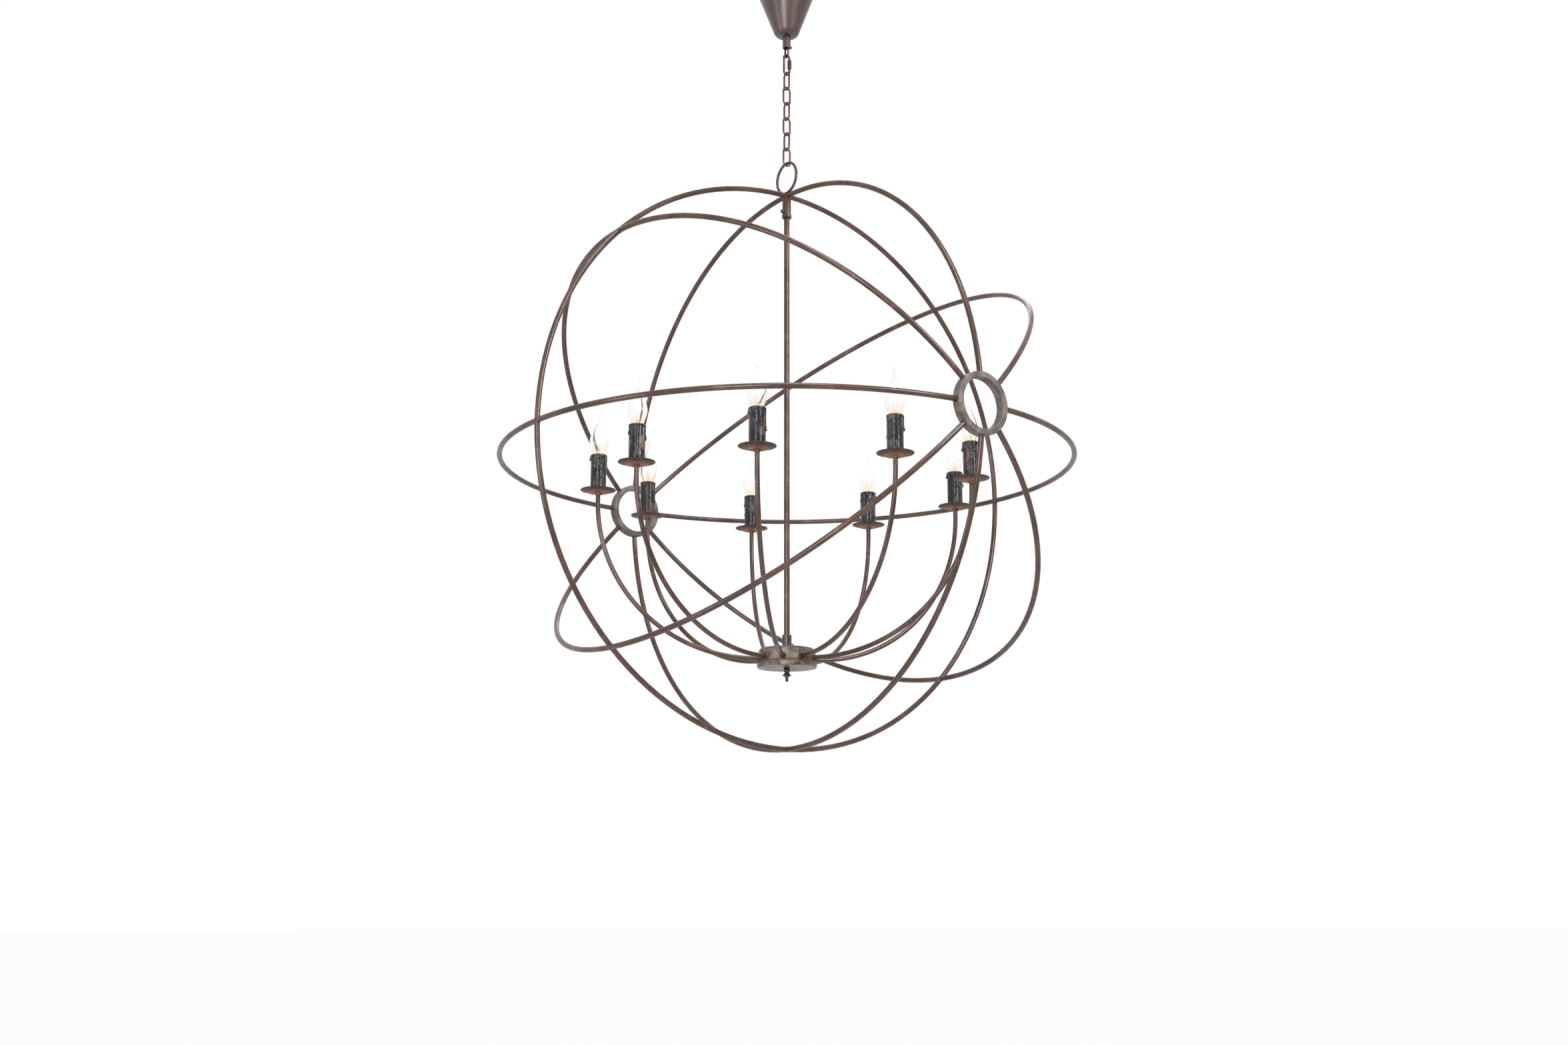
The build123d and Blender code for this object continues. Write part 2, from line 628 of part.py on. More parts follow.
with BuildPart() as hub_body:
    with BuildSketch(Plane.XZ):
        with BuildLine() as hub_line:
            Polyline((socket_bore, hub_top), (HUB_RADIUS, hub_top), (HUB_RADIUS, hub_bottom))
            fillet(hub_line.vertices().sort_by_distance((HUB_RADIUS, hub_top))[0], HUB_ROUND)
            offset(amount=HUB_SHEET, side=Side.RIGHT)
        make_face()
    revolve(axis=Axis.Z)
    for angle in arm_angles:
        with BuildSketch(outward_plane(angle, hub_bore - HUB_SHEET, arm_height)):
            Circle(arm_hole)
        extrude(amount=3 * HUB_SHEET, mode=Mode.SUBTRACT)
keep("hub_body", hub_body)

with BuildPart() as hub_cover:
    with BuildSketch(Plane.XY.offset(cover_bottom)):
        Circle(cover_radius)
    extrude(amount=COVER_DEPTH)
    fillet(hub_cover.faces().sort_by(Axis.Z)[0].edges(), COVER_ROUND)
    fillet(hub_cover.faces().sort_by(Axis.Z)[-1].edges(), COVER_WALL / 2)
    with BuildSketch(Plane.XY.offset(cover_floor)):
        Circle(cover_bore)
    extrude(amount=COVER_DEPTH, mode=Mode.SUBTRACT)
    with BuildSketch(Plane.XY.offset(cover_bottom)):
        Circle(BOLT_RADIUS + CURVE_GAP)
    extrude(amount=COVER_DEPTH, mode=Mode.SUBTRACT)
keep("hub_cover", hub_cover)

with BuildPart() as hub_bridge:
    with BuildSketch(Plane.XZ.offset(-BRIDGE_WIDTH / 2)):
        with Locations((0, hub_ceiling - BRIDGE_HEIGHT / 2)):
            RectangleRounded(BRIDGE_LENGTH, BRIDGE_HEIGHT, BRIDGE_ROUND)
            RectangleRounded(
                BRIDGE_LENGTH - 2 * BRIDGE_SHEET,
                BRIDGE_HEIGHT - 2 * BRIDGE_SHEET,
                BRIDGE_ROUND / 2,
                mode=Mode.SUBTRACT,
            )
    extrude(amount=BRIDGE_WIDTH)
    with BuildSketch(Plane.XY.offset(hub_ceiling)):
        Circle(socket_bore)
    extrude(amount=-BRIDGE_HEIGHT / 2, mode=Mode.SUBTRACT)
    with BuildSketch(Plane.XY.offset(bridge_bottom)):
        Circle(BOLT_RADIUS + FIT)
    extrude(amount=BRIDGE_HEIGHT / 2, mode=Mode.SUBTRACT)
keep("hub_bridge", hub_bridge)

stem_nut = hex_nut(STEM_NUT_ACROSS, STEM_NUT_HEIGHT, socket_bore, stem_nut_bottom)
keep("stem_nut", stem_nut)

with BuildPart() as centre_bolt:
    bolt_end = cover_bottom - BOLT_BELOW_COVER
    bolt_seat = bridge_bottom + BRIDGE_SHEET
    with BuildSketch(Plane.XY.offset(bolt_seat)):
        RegularPolygon(radius=BOLT_HEAD_RADIUS, side_count=6)
    extrude(amount=BOLT_HEAD_HEIGHT)
    with BuildSketch(Plane.XY.offset(bolt_end)):
        Circle(BOLT_RADIUS)
    extrude(amount=bolt_seat - bolt_end)
    chamfer(centre_bolt.faces().sort_by(Axis.Z)[0].edges(), BOLT_RADIUS / 5)
keep("centre_bolt", centre_bolt)

with BuildPart() as finial:
    neck_top = finial_top - FINIAL_BEAD_HEIGHT
    disc_top = neck_top - FINIAL_NECK_HEIGHT
    disc_bottom = disc_top - FINIAL_DISC_HEIGHT
    tip_bottom = disc_bottom - FINIAL_TIP_HEIGHT
    with BuildSketch(Plane.XZ):
        with BuildLine():
            Line((0, finial_top), (FINIAL_NECK, finial_top))
            ThreePointArc(
                (FINIAL_NECK, finial_top),
                (FINIAL_BEAD, (finial_top + neck_top) / 2),
                (FINIAL_NECK, neck_top),
            )
            Polyline(
                (FINIAL_NECK, neck_top),
                (FINIAL_NECK, disc_top),
                (FINIAL_DISC, (disc_top + disc_bottom) / 2),
                (FINIAL_TIP, disc_bottom),
                (FINIAL_TIP, tip_bottom + FINIAL_TIP),
            )
            ThreePointArc(
                (FINIAL_TIP, tip_bottom + FINIAL_TIP),
                (FINIAL_TIP * sin(radians(45)), tip_bottom + FINIAL_TIP * (1 - sin(radians(45)))),
                (0, tip_bottom),
            )
            Line((0, tip_bottom), (0, finial_top))
        make_face()
    revolve(axis=Axis.Z)
    with BuildSketch(Plane.XY.offset(finial_top)):
        Circle(BOLT_RADIUS + FIT)
    extrude(amount=-BOLT_BELOW_COVER, mode=Mode.SUBTRACT)
keep("finial", finial)

with BuildPart() as arm_nuts:
    for angle in arm_angles:
        with BuildSketch(outward_plane(angle, arm_nut_end - ARM_NUT_HEIGHT, arm_height)):
            RegularPolygon(radius=arm_nut_radius, side_count=6)
            Circle(arm_hole, mode=Mode.SUBTRACT)
        extrude(amount=ARM_NUT_HEIGHT)
keep("arm_nuts", arm_nuts)


def arm_route(angle, start, end):
    """Out of the hub, round the quarter bend and up into the candle."""
    with BuildLine(upright_plane(angle)) as route:
        Line((start, arm_height), (bend_start, arm_height))
        CenterArc((bend_start, bend_top), ARM_BEND, -90, 90)
        Line((candle_circle, bend_top), (candle_circle, end))
    return route.wires()[0]


for number, angle in enumerate(arm_angles):
    arm_path = arm_route(angle, arm_start, arm_end)
    with BuildPart() as arm:
        with BuildSketch(Plane(origin=arm_path @ 0, z_dir=arm_path % 0)):
            Circle(ARM_RADIUS)
            Circle(ARM_BORE, mode=Mode.SUBTRACT)
        sweep(path=arm_path)
    keep(f"arm_{number + 1}", arm)

with BuildPart() as arm_leads:
    for angle in arm_angles:
        lead_path = arm_route(angle, lead_start, arm_end + LEAD_TAIL)
        with BuildSketch(Plane(origin=lead_path @ 0, z_dir=lead_path % 0)):
            Circle(lead_radius)
        sweep(path=lead_path)
keep("arm_leads", arm_leads)

with BuildPart() as lead_connectors:
    splice_end = lead_start + SPLICE_GRIP
    for angle in arm_angles:
        with BuildSketch(outward_plane(angle, splice_end - SPLICE_LENGTH, arm_height)):
            Circle(lead_radius + FIT + SPLICE_WALL)
        extrude(amount=SPLICE_LENGTH)
        with BuildSketch(outward_plane(angle, splice_end, arm_height)):
            Circle(lead_radius + FIT)
        extrude(amount=-SPLICE_GRIP - FIT, mode=Mode.SUBTRACT)
keep("lead_connectors", lead_connectors)

with BuildPart() as pan:
    with BuildSketch(Plane.XZ):
        with BuildLine() as pan_line:
            Polyline(
                (arm_hole, pan_bottom),
                (sleeve_radius + PAN_LEDGE, pan_bottom),
                (PAN_RADIUS, pan_bottom + PAN_DEPTH),
            )
            fillet(pan_line.vertices().sort_by(Axis.X)[1], PAN_ROUND)
            offset(amount=SHEET, side=Side.LEFT)
        make_face()
    revolve(axis=Axis.Z)
    with BuildSketch(Plane.XY.offset(pan_bottom)):
        Circle(arm_hole + PAN_BOSS_WALL)
        Circle(arm_hole, mode=Mode.SUBTRACT)
    extrude(amount=-PAN_BOSS_HEIGHT)

pan_nut = hex_nut(ARM_NUT_ACROSS, HOLDER_NUT_HEIGHT, arm_hole, pan_floor)

with BuildPart() as holder:
    with BuildSketch(Plane.XY.offset(holder_bottom)):
        Circle(HOLDER_RADIUS)
        Circle(arm_hole, mode=Mode.SUBTRACT)
    extrude(amount=holder_top - holder_bottom)
    with BuildSketch(Plane.XY.offset(holder_top)):
        Circle(CAP_RADIUS + FIT)
    extrude(amount=-CAP_LENGTH - SEAT, mode=Mode.SUBTRACT)
    room_bottom = holder_bottom + HOLDER_WALL
    room_top = cap_bottom - SEAT - HOLDER_FLOOR
    with BuildSketch(Plane.XY.offset(room_bottom)):
        Circle(HOLDER_RADIUS - HOLDER_WALL)
    extrude(amount=room_top - room_bottom, mode=Mode.SUBTRACT)

with BuildPart() as candle_sleeve:
    with BuildSketch(Plane.XZ):
        with BuildLine() as sleeve_line:
            Polyline(
                (sleeve_radius, pan_floor),
                (sleeve_radius, sleeve_top),
                (sleeve_mouth, sleeve_top),
            )
            fillet(sleeve_line.vertices().sort_by_distance((sleeve_radius, sleeve_top))[0], SLEEVE_ROUND)
            offset(amount=SHEET, side=Side.LEFT)
        make_face()
    revolve(axis=Axis.Z)

for group_name, piece in (
    ("drip_pans", pan),
    ("holder_nuts", pan_nut),
    ("lamp_holders", holder),
    ("candle_sleeves", candle_sleeve),
):
    with BuildPart() as group:
        with PolarLocations(candle_circle, ARM_COUNT, ARM_TURN):
            add(piece.part)
    keep(group_name, group)

with BuildPart() as lamp_cap:
    with BuildSketch(Plane.XY.offset(cap_bottom)):
        Circle(CAP_CONTACT)
    extrude(amount=CAP_CONTACT_HEIGHT)
    with BuildSketch(Plane.XY.offset(cap_bottom + CAP_CONTACT_HEIGHT)):
        Circle(CAP_RADIUS)
    extrude(amount=cap_seat - cap_bottom - CAP_CONTACT_HEIGHT)
    with BuildSketch(Plane.XY.offset(cap_seat)):
        Circle(CAP_FLANGE)
    extrude(amount=CAP_FLANGE_HEIGHT)

glass_outline = (
    (CAP_FLANGE, glass_bottom),
    (GLASS_NECK, sleeve_top),
    (GLASS_BELLY, sleeve_top + GLASS_BELLY_HEIGHT),
    (GLASS_SHOULDER, sleeve_top + GLASS_SHOULDER_HEIGHT),
    (TAIL_RADIUS, sleeve_top + TAIL_HEIGHT),
)
with BuildPart() as bulb_glass:
    with BuildSketch(Plane.XZ):
        with BuildLine():
            outside = Spline(*glass_outline)
            inside = Spline(*[(radius - GLASS, height) for radius, height in glass_outline])
            Line(outside @ 0, inside @ 0)
            Line(outside @ 1, inside @ 1)
        make_face()
    revolve(axis=Axis.Z)
    tail_length = BULB_HEIGHT - TAIL_HEIGHT
    for step in (0, 0.35, 0.7, 1):
        lean = TAIL_LEAN * step**2
        slope = 2 * TAIL_LEAN * step / tail_length
        place = (lean, 0, sleeve_top + TAIL_HEIGHT + tail_length * step)
        with BuildSketch(Plane(origin=place, x_dir=(1, 0, -slope), z_dir=(slope, 0, 1))):
            Circle(TAIL_RADIUS + (TAIL_TIP_RADIUS - TAIL_RADIUS) * step)
    loft()

for number, angle in enumerate(arm_angles):
    tail_turn = TAIL_TURNS[number % len(TAIL_TURNS)]
    place = (candle_circle * cos(radians(angle)), candle_circle * sin(radians(angle)), 0)
    with BuildPart() as bulb:
        with Locations(Location(place, (0, 0, tail_turn))):
            add(lamp_cap.part)
            add(bulb_glass.part)
    keep(f"bulb_{number + 1}", bulb)
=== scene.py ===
"""Finishes and fine pieces of the orb chandelier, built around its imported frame.

Metres, +Z up, the origin on the ceiling over the middle of the lamp.
"""
import json
import random
from math import cos, exp, pi, radians, sin, sqrt

import bmesh
import bpy
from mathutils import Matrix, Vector, noise


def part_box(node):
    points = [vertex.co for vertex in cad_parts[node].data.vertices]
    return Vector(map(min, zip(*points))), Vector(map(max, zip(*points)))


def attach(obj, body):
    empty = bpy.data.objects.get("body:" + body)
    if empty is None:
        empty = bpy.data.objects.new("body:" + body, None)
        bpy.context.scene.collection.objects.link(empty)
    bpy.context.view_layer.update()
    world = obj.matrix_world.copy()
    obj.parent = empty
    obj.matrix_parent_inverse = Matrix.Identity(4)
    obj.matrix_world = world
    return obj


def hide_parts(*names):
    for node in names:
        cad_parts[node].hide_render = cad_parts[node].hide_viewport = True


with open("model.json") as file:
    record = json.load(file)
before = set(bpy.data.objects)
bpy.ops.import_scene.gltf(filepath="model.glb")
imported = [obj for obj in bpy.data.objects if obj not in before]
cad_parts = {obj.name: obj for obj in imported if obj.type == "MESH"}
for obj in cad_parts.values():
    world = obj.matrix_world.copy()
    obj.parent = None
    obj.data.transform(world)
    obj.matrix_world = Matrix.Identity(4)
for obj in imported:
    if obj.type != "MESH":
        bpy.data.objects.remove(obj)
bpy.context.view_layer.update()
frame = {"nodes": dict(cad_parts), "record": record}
MM = 0.001

# ---------------------------------------------------------------- sizes
ARM_COUNT = 9
ARM_TURN = radians(24.8)     # first arm from the +X axis
CANDLE_CIRCLE = 330 * MM
ARM_RADIUS = 4 * MM
SLEEVE_RADIUS = 13.5 * MM
SLEEVE_BORE = 12.35 * MM
MOUTH_RADIUS = 11 * MM
LIP = 1.2 * MM               # wax over the sleeve's edge, down the mouth
PAN_RADIUS = 30 * MM

ring_low, ring_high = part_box("frame_ring")
bar_radius = (ring_high.y - ring_low.y) / 2
orb_centre = (ring_low + ring_high) / 2
orb_radius = (ring_high.x - ring_low.x) / 2 - bar_radius
pipe_low, pipe_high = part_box("front_ring")
pipe_radius = (pipe_high.x - pipe_low.x) / 2
sleeve_low, sleeve_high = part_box("candle_sleeves")
bulb_low, bulb_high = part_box("bulb_1")
hub_low, hub_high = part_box("hub_body")
hub_radius = (hub_high.x - hub_low.x) / 2
arm_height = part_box("arm_1")[0].z + ARM_RADIUS
candle_angles = [ARM_TURN + 2 * pi * turn / ARM_COUNT for turn in range(ARM_COUNT)]
candle_places = [
    Vector((CANDLE_CIRCLE * cos(angle), CANDLE_CIRCLE * sin(angle), 0))
    for angle in candle_angles
]


# ---------------------------------------------------------------- colours
def paint(red, green, blue):
    """A linear colour from the three screen values, 0 to 255."""
    screen = (value / 255 for value in (red, green, blue))
    light = [v / 12.92 if v <= 0.04045 else ((v + 0.055) / 1.055) ** 2.4 for v in screen]
    return (*light, 1.0)


# ---------------------------------------------------------------- shader maths
class Signal:
    """One output of a node, so that shader maths reads as an expression."""

    def __init__(self, owner, socket):
        self.owner = owner
        self.socket = socket

    def combine(self, operation, left, right):
        """Vector maths where either side is a vector, plain maths elsewhere."""
        kinds = {side.socket.type for side in (left, right) if isinstance(side, Signal)}
        kind = "ShaderNodeVectorMath" if "VECTOR" in kinds else "ShaderNodeMath"
        return self.owner.node(kind, {"operation": operation}, {0: left, 1: right})

    def __add__(self, other):
        return self.combine("ADD", self, other)

    def __radd__(self, other):
        return self.combine("ADD", other, self)

    def __sub__(self, other):
        return self.combine("SUBTRACT", self, other)

    def __rsub__(self, other):
        return self.combine("SUBTRACT", other, self)

    def __mul__(self, other):
        return self.combine("MULTIPLY", self, other)

    def __truediv__(self, other):
        return self.combine("DIVIDE", self, other)

    def __pow__(self, other):
        return self.combine("POWER", self, other)

    def __mod__(self, other):
        return self.combine("FLOORED_MODULO", self, other)

    def between(self, low, high):
        """0 up to low, 1 from high on, and an even curve in between."""
        limits = {"Value": self, "From Min": low, "From Max": high}
        return self.owner.node("ShaderNodeMapRange", {"interpolation_type": "SMOOTHSTEP"}, limits)

    def axis(self, name):
        """One of a vector's three numbers."""
        return self.owner.node("ShaderNodeSeparateXYZ", {}, {"Vector": self}, name)


class NodeSet:
    """The nodes of a material or of the world."""

    def __init__(self, holder):
        holder.use_nodes = True
        self.tree = holder.node_tree
        self.tree.nodes.clear()

    def node(self, kind, settings=None, inputs=None, output=None):
        """Any node: its settings first, then its sockets' values or links."""
        made = self.tree.nodes.new(kind)
        for name, value in (settings or {}).items():
            setattr(made, name, value)
        for name, value in (inputs or {}).items():
            if isinstance(name, str):
                socket = next(s for s in made.inputs if s.enabled and s.name == name)
            else:
                socket = made.inputs[name]
            if isinstance(value, Signal):
                self.tree.links.new(value.socket, socket)
            else:
                socket.default_value = value
        outlets = [s for s in made.outputs if s.enabled and output in (None, s.name)]
        return Signal(self, outlets[0]) if outlets else None


class Finish(NodeSet):
    """A material and its nodes, in coordinates of the frame at rest."""

    def __init__(self, name):
        self.material = bpy.data.materials.new(name)
        super().__init__(self.material)
        self.place = self.node("ShaderNodeTexCoord", output="Object")

    def mottle(self, size, detail=3.0, stretch=(1, 1, 1), roughness=0.5):
        """Cloudy noise about a feature size, drawn out along an axis by stretch."""
        where = self.place if stretch == (1, 1, 1) else self.place / stretch
        inputs = {"Vector": where, "Scale": 1 / size, "Detail": detail, "Roughness": roughness}
        return self.node("ShaderNodeTexNoise", {}, inputs)

    def cells(self, size):
        """Distance to the nearest of scattered points, for pits and pimples."""
        return self.node("ShaderNodeTexVoronoi", {}, {"Vector": self.place, "Scale": 1 / size})

    def mix(self, share, first, second):
        """The first colour where share is 0, the second where it is 1."""
        settings = {"data_type": "RGBA", "clamp_factor": True}
        return self.node("ShaderNodeMix", settings, {"Factor": share, "A": first, "B": second})

    def sine(self, value):
        """Of an angle in radians."""
        return self.node("ShaderNodeMath", {"operation": "SINE"}, {0: value})

    def cosine(self, value):
        """Of an angle in radians."""
        return self.node("ShaderNodeMath", {"operation": "COSINE"}, {0: value})

    def candle_distance(self):
        """Distance from the axis of the nearest candle."""
        across, along = self.place.axis("X"), self.place.axis("Y")
        angle = self.node("ShaderNodeMath", {"operation": "ARCTAN2"}, {0: along, 1: across})
        step = 2 * pi / ARM_COUNT
        offset = (angle - ARM_TURN + step / 2) % step - step / 2
        radius = (across * across + along * along) ** 0.5
        inward = radius * self.cosine(offset) - CANDLE_CIRCLE
        sideways = radius * self.sine(offset)
        return (inward * inward + sideways * sideways) ** 0.5

    def relief(self, height, strength, depth):
        """A bumped normal, its depth in metres."""
        inputs = {"Height": height, "Strength": strength, "Distance": depth}
        return self.node("ShaderNodeBump", {}, inputs)

    def surface(self, inputs):
        """The finished material, of one shader with these values."""
        shader = self.node("ShaderNodeBsdfPrincipled", {}, inputs)
        self.node("ShaderNodeOutputMaterial", {}, {"Surface": shader})
        return self.material


# ---------------------------------------------------------------- finishes
def iron_patina():
    """Brown waxed iron: satin, with faint rust bloom and paler rubbed patches."""
    iron = Finish("iron_patina")
    cloud = iron.mottle(0.06, 4)
    grain = iron.mottle(0.0035, 5, roughness=0.6)
    pale_marks = iron.mottle(0.018, 3)
    colour = iron.mix(cloud.between(0.3, 0.7), paint(60, 35, 25), paint(84, 54, 41))
    bloom = grain.between(0.5, 0.68) * cloud.between(0.45, 0.62)
    colour = iron.mix(bloom * 0.4, colour, paint(104, 68, 52))
    colour = iron.mix(pale_marks.between(0.56, 0.76) * 0.3, colour, paint(138, 118, 110))
    colour = iron.mix(grain.between(0.48, 0.3) * 0.3, colour, paint(44, 32, 28))
    return iron.surface({
        "Base Color": colour,
        "Metallic": pale_marks.between(0.5, 0.75) * 0.2,
        "Roughness": 0.42 + grain * 0.2,
        "Normal": iron.relief(grain + cloud * 0.5, 0.2, 0.0004),
        "Specular IOR Level": 0.1,
        "Coat Weight": 0.45 + cloud.between(0.3, 0.7) * 0.15,
        "Coat Roughness": 0.22,
        "Coat IOR": 1.7,
    })


def ring_iron():
    """Rough cast iron of the two rings, greyer than the bars."""
    iron = Finish("ring_iron")
    cloud = iron.mottle(0.02, 4)
    grain = iron.mottle(0.0022, 6, roughness=0.65)
    pits = iron.cells(0.0028)
    colour = iron.mix(cloud.between(0.38, 0.62), paint(98, 86, 80), paint(132, 123, 118))
    colour = iron.mix(grain.between(0.5, 0.7) * 0.35, colour, paint(150, 142, 138))
    colour = iron.mix(pits.between(0.3, 0.05) * 0.25, colour, paint(70, 54, 48))
    return iron.surface({
        "Base Color": colour,
        "Metallic": 0.3,
        "Specular IOR Level": 0.3,
        "Roughness": 0.48 + grain * 0.25,
        "Normal": iron.relief(grain - pits.between(0.4, 0.0) * 0.4, 0.5, 0.0005),
    })


def hub_metal():
    """Worn grey hub, rusty brown where its rims are."""
    metal = Finish("hub_metal")
    cloud = metal.mottle(0.018, 4)
    grain = metal.mottle(0.003, 5, roughness=0.6)
    height = metal.place.axis("Z")
    cover_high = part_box("hub_cover")[1].z
    rim_below = height.between(cover_high - 0.005, cover_high)
    rim_above = height.between(cover_high + 0.004, cover_high)
    rim = rim_below * rim_above
    brim = height.between(hub_high.z - 0.007, hub_high.z - 0.001)
    colour = metal.mix(cloud.between(0.36, 0.62), paint(74, 61, 54), paint(124, 115, 108))
    colour = metal.mix(grain.between(0.5, 0.7) * 0.3, colour, paint(160, 154, 149))
    rust = (rim + brim * 0.8) * (0.45 + cloud.between(0.35, 0.6) * 0.55)
    colour = metal.mix(rust, colour, paint(98, 64, 50))
    return metal.surface({
        "Base Color": colour,
        "Metallic": 0.75 - rust * 0.5,
        "Roughness": 0.3 + grain * 0.25,
        "Normal": metal.relief(grain + cloud, 0.45, 0.0004),
    })


def dark_fittings():
    """Blackened screws, links and small turned parts."""
    metal = Finish("dark_fittings")
    cloud = metal.mottle(0.009, 4)
    grain = metal.mottle(0.002, 5, roughness=0.6)
    colour = metal.mix(cloud.between(0.35, 0.65), paint(62, 46, 42), paint(98, 76, 70))
    colour = metal.mix(grain.between(0.56, 0.72) * 0.5, colour, paint(138, 118, 112))
    return metal.surface({
        "Base Color": colour,
        "Metallic": 0.4 + grain * 0.2,
        "Roughness": 0.36 + cloud * 0.25,
        "Normal": metal.relief(grain, 0.4, 0.0003),
    })


def canopy_paint():
    """Satin brown paint over spun sheet, a little uneven."""
    coat = Finish("canopy_paint")
    cloud = coat.mottle(0.05, 3)
    flow = coat.mottle(0.006, 3)
    colour = coat.mix(cloud.between(0.35, 0.65), paint(54, 31, 23), paint(68, 43, 33))
    colour = coat.mix(flow.between(0.55, 0.8) * 0.2, colour, paint(86, 64, 55))
    return coat.surface({
        "Base Color": colour,
        "Metallic": 0.15,
        "Roughness": 0.33 + cloud * 0.12,
        "Normal": coat.relief(flow, 0.25, 0.0003),
        "Coat Weight": 0.5,
        "Coat Roughness": 0.3,
        "Coat IOR": 1.6,
    })


def pan_iron():
    """Drip pans: orange rust in the dish, darker towards the rim."""
    iron = Finish("pan_iron")
    cloud = iron.mottle(0.011, 4)
    grain = iron.mottle(0.0024, 5, roughness=0.62)
    reach = iron.candle_distance()
    rim = (reach + (cloud - 0.5) * 0.014).between(0.015, 0.027)
    colour = iron.mix(cloud.between(0.35, 0.62), paint(124, 80, 60), paint(158, 118, 96))
    colour = iron.mix(grain.between(0.5, 0.7) * 0.5, colour, paint(168, 102, 66))
    colour = iron.mix(rim * 0.92, colour, paint(56, 44, 40))
    colour = iron.mix(rim * grain.between(0.54, 0.7) * 0.5, colour, paint(118, 98, 88))
    return iron.surface({
        "Base Color": colour,
        "Metallic": 0.15 + rim * 0.2,
        "Roughness": 0.42 + grain * 0.25,
        "Normal": iron.relief(grain + cloud * 0.6, 0.5, 0.0004),
        "Specular IOR Level": 0.3,
    })


def candle_wax():
    """Black glossy wax, streaked with dust and amber, with painted highlight specks on the raised
    drips and a reddish-brown band round the mouth.
    """
    wax = Finish("candle_wax")
    cloud = wax.mottle(0.02, 3)
    streak = wax.mottle(0.007, 3, stretch=(1, 1, 5))
    speck = wax.mottle(0.0022, 4)
    raised = wax.node("ShaderNodeAttribute", {"attribute_name": "raised"}, output="Fac")
    height = wax.place.axis("Z")
    mouth = height.between(sleeve_high.z - 0.005, sleeve_high.z - 0.0005)
    colour = wax.mix(cloud.between(0.35, 0.65), paint(14, 16, 20), paint(32, 36, 42))
    dust = streak.between(0.5, 0.6) * cloud.between(0.46, 0.58)
    colour = wax.mix(dust * 0.8, colour, paint(118, 96, 82))
    amber = streak.between(0.62, 0.68) * raised.between(0.6, 0.1)
    colour = wax.mix(amber * 0.9, colour, paint(160, 100, 56))
    # painted highlight specks: pale grey where the drips stand highest
    pale_marks = raised.between(0.5, 0.95) * speck.between(0.5, 0.62)
    colour = wax.mix(pale_marks * 0.6, colour, paint(150, 136, 128))
    colour = wax.mix(mouth * 0.75, colour, paint(92, 46, 30))
    return wax.surface({
        "Base Color": colour,
        "Roughness": 0.16 + cloud.between(0.3, 0.7) * 0.14 + dust * 0.35,
        "Normal": wax.relief(streak + speck * 0.5, 0.35, 0.0005),
        "Specular IOR Level": 0.4,
    })


def insulator():
    """Pale moulded insulating plastic."""
    plastic = Finish("insulator")
    cloud = plastic.mottle(0.01, 3)
    grain = plastic.mottle(0.0012, 4)
    colour = plastic.mix(cloud.between(0.3, 0.7), paint(205, 199, 186), paint(222, 217, 205))
    return plastic.surface({
        "Base Color": colour,
        "Roughness": 0.45 + grain * 0.12,
        "Normal": plastic.relief(grain, 0.2, 0.0002),
    })


def lead_sheath():
    """Soft brown covering of the leads."""
    sheath = Finish("lead_sheath")
    grain = sheath.mottle(0.0015, 4)
    colour = sheath.mix(grain.between(0.3, 0.7), paint(70, 52, 46), paint(94, 74, 66))
    return sheath.surface({
        "Base Color": colour,
        "Roughness": 0.6 + grain * 0.15,
        "Normal": sheath.relief(grain, 0.3, 0.0002),
    })


def splice_cap():
    """Waxy white caps over the twisted ends."""
    cap = Finish("splice_cap")
    cloud = cap.mottle(0.006, 3)
    colour = cap.mix(cloud.between(0.3, 0.7), paint(214, 208, 192), paint(232, 228, 216))
    return cap.surface({
        "Base Color": colour,
        "Roughness": 0.42 + cloud * 0.12,
        "Normal": cap.relief(cloud, 0.2, 0.0002),
    })


def zinc_steel():
    """Bright cloudy steel, painted brown where the hanger's eye shows."""
    steel = Finish("zinc_steel")
    spangle = steel.cells(0.006)
    grain = steel.mottle(0.0016, 4)
    height = steel.place.axis("Z")
    low, high = (corner.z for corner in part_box("canopy_collar"))
    painted = height.between(high + 0.004, high) * height.between(low - 0.06, low - 0.05)
    colour = steel.mix(spangle.between(0.1, 0.6), paint(158, 158, 152), paint(186, 186, 180))
    colour = steel.mix(painted, colour, paint(64, 47, 41))
    return steel.surface({
        "Base Color": colour,
        "Metallic": 0.85 - painted * 0.7,
        "Roughness": 0.3 + grain * 0.15 + spangle * 0.1,
        "Normal": steel.relief(grain, 0.2, 0.0002),
    })


def bulb_glass():
    """Clear thin glass, with a painted warm glow of the filament low down."""
    glass = Finish("bulb_glass")
    ripple = glass.mottle(0.02, 2)
    lift = glass.place.axis("Z") - sleeve_high.z
    # painted glow: the glass tinted warm near the filament, which also tints the glass mount
    painted_warm_glow = lift.between(0.024, -0.002)
    return glass.surface({
        "Base Color": glass.mix(painted_warm_glow, paint(252, 252, 252), paint(255, 244, 230)),
        "Roughness": 0.0,
        "IOR": 1.45,
        "Transmission Weight": 1.0,
        "Normal": glass.relief(ripple, 0.08, 0.0005),
    })


def filament_glow():
    """The lit filament."""
    glow = Finish("filament_glow")
    hot = glow.mottle(0.004, 2).between(0.35, 0.65)
    return glow.surface({
        "Base Color": paint(255, 196, 120),
        "Emission Color": glow.mix(hot, paint(255, 150, 60), paint(255, 190, 110)),
        "Emission Strength": 30.0,
    })


FINISHES = {
    make.__name__: make()
    for make in (
        iron_patina, ring_iron, hub_metal, dark_fittings, canopy_paint, pan_iron,
        candle_wax, insulator, lead_sheath, splice_cap, zinc_steel, bulb_glass,
    )
}
GLOW = filament_glow()


